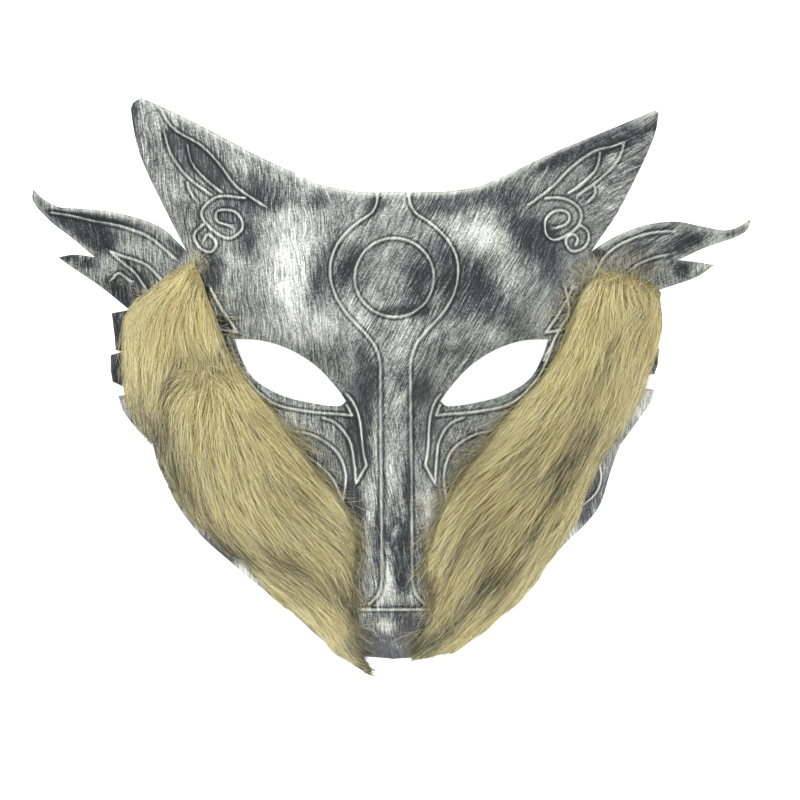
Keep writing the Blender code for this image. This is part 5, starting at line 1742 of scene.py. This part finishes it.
piles = []
for number, name in enumerate(SIDES):
    rng = np.random.default_rng(FIRST_SEED + number)
    cheek_box = np.prod(fur_rims[name].max(axis=0) - fur_rims[name].min(axis=0))
    tuft_roots = roots_inside(name, int(CHEEK_SHARE * cheek_box / TUFT_SPACING ** 2), rng)
    tuft_paths = grow_paths(name, tuft_roots, rng.uniform(*TUFT_LENGTHS, len(tuft_roots)), rng,
                            TUFT_WANDER)
    tuft_tone = rng.normal(0.0, 1.0, len(tuft_roots))
    wisps = wisp_paths(name, rng)
    for part_number in range(PIECES_PER_CHEEK):
        loose = wisps[part_number::PIECES_PER_CHEEK]
        loose_count = len(loose)
        edge_count = int(EDGE_SHARE * FIBRES_PER_PIECE)
        edge_roots = roots_at_edge(name, edge_count, rng)
        rest_of_roots = roots_inside(name, FIBRES_PER_PIECE - loose_count - edge_count, rng)
        paths, nearest, stray = combed(name, np.concatenate([edge_roots, rest_of_roots]),
                                       tuft_paths, rng)
        on_plastic, in_air = edge_limits(stray, rng)
        paths = np.concatenate([paths, loose])
        nearest = np.concatenate([nearest, rng.integers(0, len(tuft_roots), loose_count)])
        stray = np.concatenate([stray, np.ones(loose_count, dtype=bool)])
        on_plastic = np.concatenate([on_plastic, np.full(loose_count, WISP_REACH)])
        in_air = np.concatenate([in_air, np.full(loose_count, WISP_IN_AIR)])
        paths = trimmed(paths, overshoot(name, paths, on_plastic, in_air))
        count = len(paths)
        plan_middle = paths[:, 1]
        layer = rng.uniform(*LAYERS, count)[:, None]
        lock = nearest_tone(plan_middle, LOCK_WIDTH, rng)
        paths = lifted(name, paths, layer, stray)
        radius = (FIBRE_RADIUS * rng.uniform(*RADIUS_SPREAD, count)
                  * np.where(stray, STRAY_RADIUS, 1.0))
        piece, per_fibre = spikes(f"fur_pile_{name}_{part_number + 1}", paths, radius)
        tone, dark = fibre_tones(plan_middle, layer, lock, tuft_tone[nearest], rng)
        shade = fibre_shades(name, paths, plan_middle, dark, rng)
        add_attribute(piece.data, "tone", np.repeat(tone, per_fibre))
        add_attribute(piece.data, "dark", np.repeat(shade, per_fibre))
        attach(piece, "root")
        piles.append(piece)
        print(piece.name, count, "fibres", len(piece.data.polygons), "faces")

# %% [markdown]
# ## Straw-coloured acrylic fibre
# Acrylic faux fur is dyed in two steps: straw-coloured guard fibres over darker, olive roots,
# with some brown fibres mixed in. A fibre is smooth and a little translucent, so it has a soft
# sheen along its length rather than a hard gloss. Near the root the colour goes darker, partly
# the roots' dye and partly painted shade where light cannot reach into the pile.

# %% The fur's material
# The root colour: partly the roots' darker dye, partly painted shade deep in the pile
ROOT_DYE_AND_SHADE = "#B3A670"
STRAW_DEEP = "#E2CC88"
STRAW = "#FAEFB2"
STRAW_LIGHT = "#FFF9D0"
OLIVE_DARK = "#4C4D3C"

STRAW_STOPS = [(0.1, STRAW_DEEP), (0.5, STRAW), (0.95, STRAW_LIGHT)]

fur, tree, shader = new_material("long_straw_acrylic_faux_fur")
read = {}
for name in ("tone", "along", "dark"):
    read[name] = node(tree, "ShaderNodeAttribute", {"attribute_name": name}).outputs["Fac"]
# From the root colour, part dye and part painted shade, to straw along the fibre
from_root = node(tree, "ShaderNodeMapRange", {"interpolation_type": "SMOOTHSTEP"}, {
    "Value": read["along"], "From Min": -0.3, "From Max": 0.25}).outputs["Result"]
straw = colour_ramp(tree, read["tone"], STRAW_STOPS)
straw = node(tree, "ShaderNodeMix", {"data_type": "RGBA"}, {
    0: from_root, 6: linear(ROOT_DYE_AND_SHADE), 7: straw}).outputs[2]
# Towards dark olive: the bands' painted shade, with brown fibres and the darker fringe
straw = node(tree, "ShaderNodeMix", {"data_type": "RGBA"}, {
    0: read["dark"], 6: straw, 7: linear(OLIVE_DARK)}).outputs[2]
tree.links.new(straw, shader.inputs["Base Color"])
shader.inputs["Roughness"].default_value = 0.55
shader.inputs["Specular IOR Level"].default_value = 0.35
shader.inputs["Sheen Weight"].default_value = 0.15
shader.inputs["Sheen Roughness"].default_value = 0.4
for piece in piles:
    piece.data.materials.append(fur)
print("nodes in the fur", len(tree.nodes))

# %% [markdown]
# The backing is seen only in the gaps. It gets the root colour, which here stands in for the
# shade deep in the pile, broken up by a noise of about 1 mm, which is the size of a knitted
# stitch, and a rough, dry surface.

# %% The backing's material
STITCHES_PER_METRE = 900.0
STITCH_DEPTH = 0.0008
# The backing's colours are painted shade of the deep pile
BACKING_DARK = "#746B48"
BACKING_LIGHT = "#B0A270"

felt, tree, shader = new_material("dark_knitted_fur_backing")
spot = node(tree, "ShaderNodeTexCoord").outputs["Object"]
stitch = node(tree, "ShaderNodeTexNoise", {}, {
    "Vector": spot, "Scale": STITCHES_PER_METRE, "Detail": 3.0}).outputs["Fac"]
root_colour = node(tree, "ShaderNodeMix", {"data_type": "RGBA"}, {
    0: stitch, 6: linear(BACKING_DARK), 7: linear(BACKING_LIGHT)}).outputs[2]
dents = node(tree, "ShaderNodeBump", {}, {
    "Strength": 0.8, "Distance": STITCH_DEPTH, "Height": stitch}).outputs["Normal"]
tree.links.new(root_colour, shader.inputs["Base Color"])
tree.links.new(dents, shader.inputs["Normal"])
shader.inputs["Roughness"].default_value = 0.95
for backing in backings.values():
    backing.data.materials.append(felt)
print("nodes in the backing", len(tree.nodes))

# %% [markdown]
# ## Floor and light
# The photograph has a pure white ground and soft light from all sides. A pale floor, a pale
# world and three soft lights give that: one above on the left for shape, a weaker one on the
# right, and one low beyond the crown that also reaches under the mask. The floor glows faintly,
# as a light table does, so that the eye holes look out on white.

# %% The floor
FLOOR_HALF = 6.0
FLOOR_HEIGHT = -0.0003
floor_mesh = bpy.data.meshes.new("pale_floor")
floor_mesh.from_pydata([(x * FLOOR_HALF, y * FLOOR_HALF, FLOOR_HEIGHT)
                        for x, y in ((-1, -1), (1, -1), (1, 1), (-1, 1))], [], [(0, 1, 2, 3)])
floor = bpy.data.objects.new("pale_floor", floor_mesh)
scene.collection.objects.link(floor)
paper, tree, shader = new_material("matt_white_light_table")
shader.inputs["Base Color"].default_value = linear("#E0E0E0")
shader.inputs["Roughness"].default_value = 0.9
shader.inputs["Emission Color"].default_value = linear("#FFFFFF")
shader.inputs["Emission Strength"].default_value = 0.85
floor_mesh.materials.append(paper)
print("floor", 2 * FLOOR_HALF, "m wide")

# %% [markdown]
# The world lights every side evenly, as a white tent would. Each lamp is a square panel, and it
# is turned so that it faces the mask.

# %% World and lights
world = bpy.data.worlds.new("pale_studio")
world.use_nodes = True
world.node_tree.nodes["Background"].inputs["Color"].default_value = linear("#FFFFFF")
world.node_tree.nodes["Background"].inputs["Strength"].default_value = 0.80
scene.world = world

LIGHTS = [
    # name, place, aimed at, size, watts
    ("window_left", (-0.7, 0.45, 1.15), (0.0, 0.0, 0.04), 0.6, 8.0),
    ("window_right", (0.8, -0.2, 1.1), (0.0, 0.0, 0.04), 0.8, 3.0),
    ("low_crown", (0.0, 1.0, 0.25), (0.0, 0.0, 0.03), 0.5, 3.0),
]
for name, place_at, aim, size, watts in LIGHTS:
    light_data = bpy.data.lights.new(name, "AREA")
    light_data.size = size
    light_data.energy = watts
    light = bpy.data.objects.new(name, light_data)
    scene.collection.objects.link(light)
    light.location = place_at
    away = np.array(place_at) - np.array(aim)
    light.rotation_euler = (0.0, math.acos(away[2] / np.linalg.norm(away)),
                            math.atan2(away[1], away[0]))
scene.view_settings.view_transform = "Standard"
print("lights", len(LIGHTS))
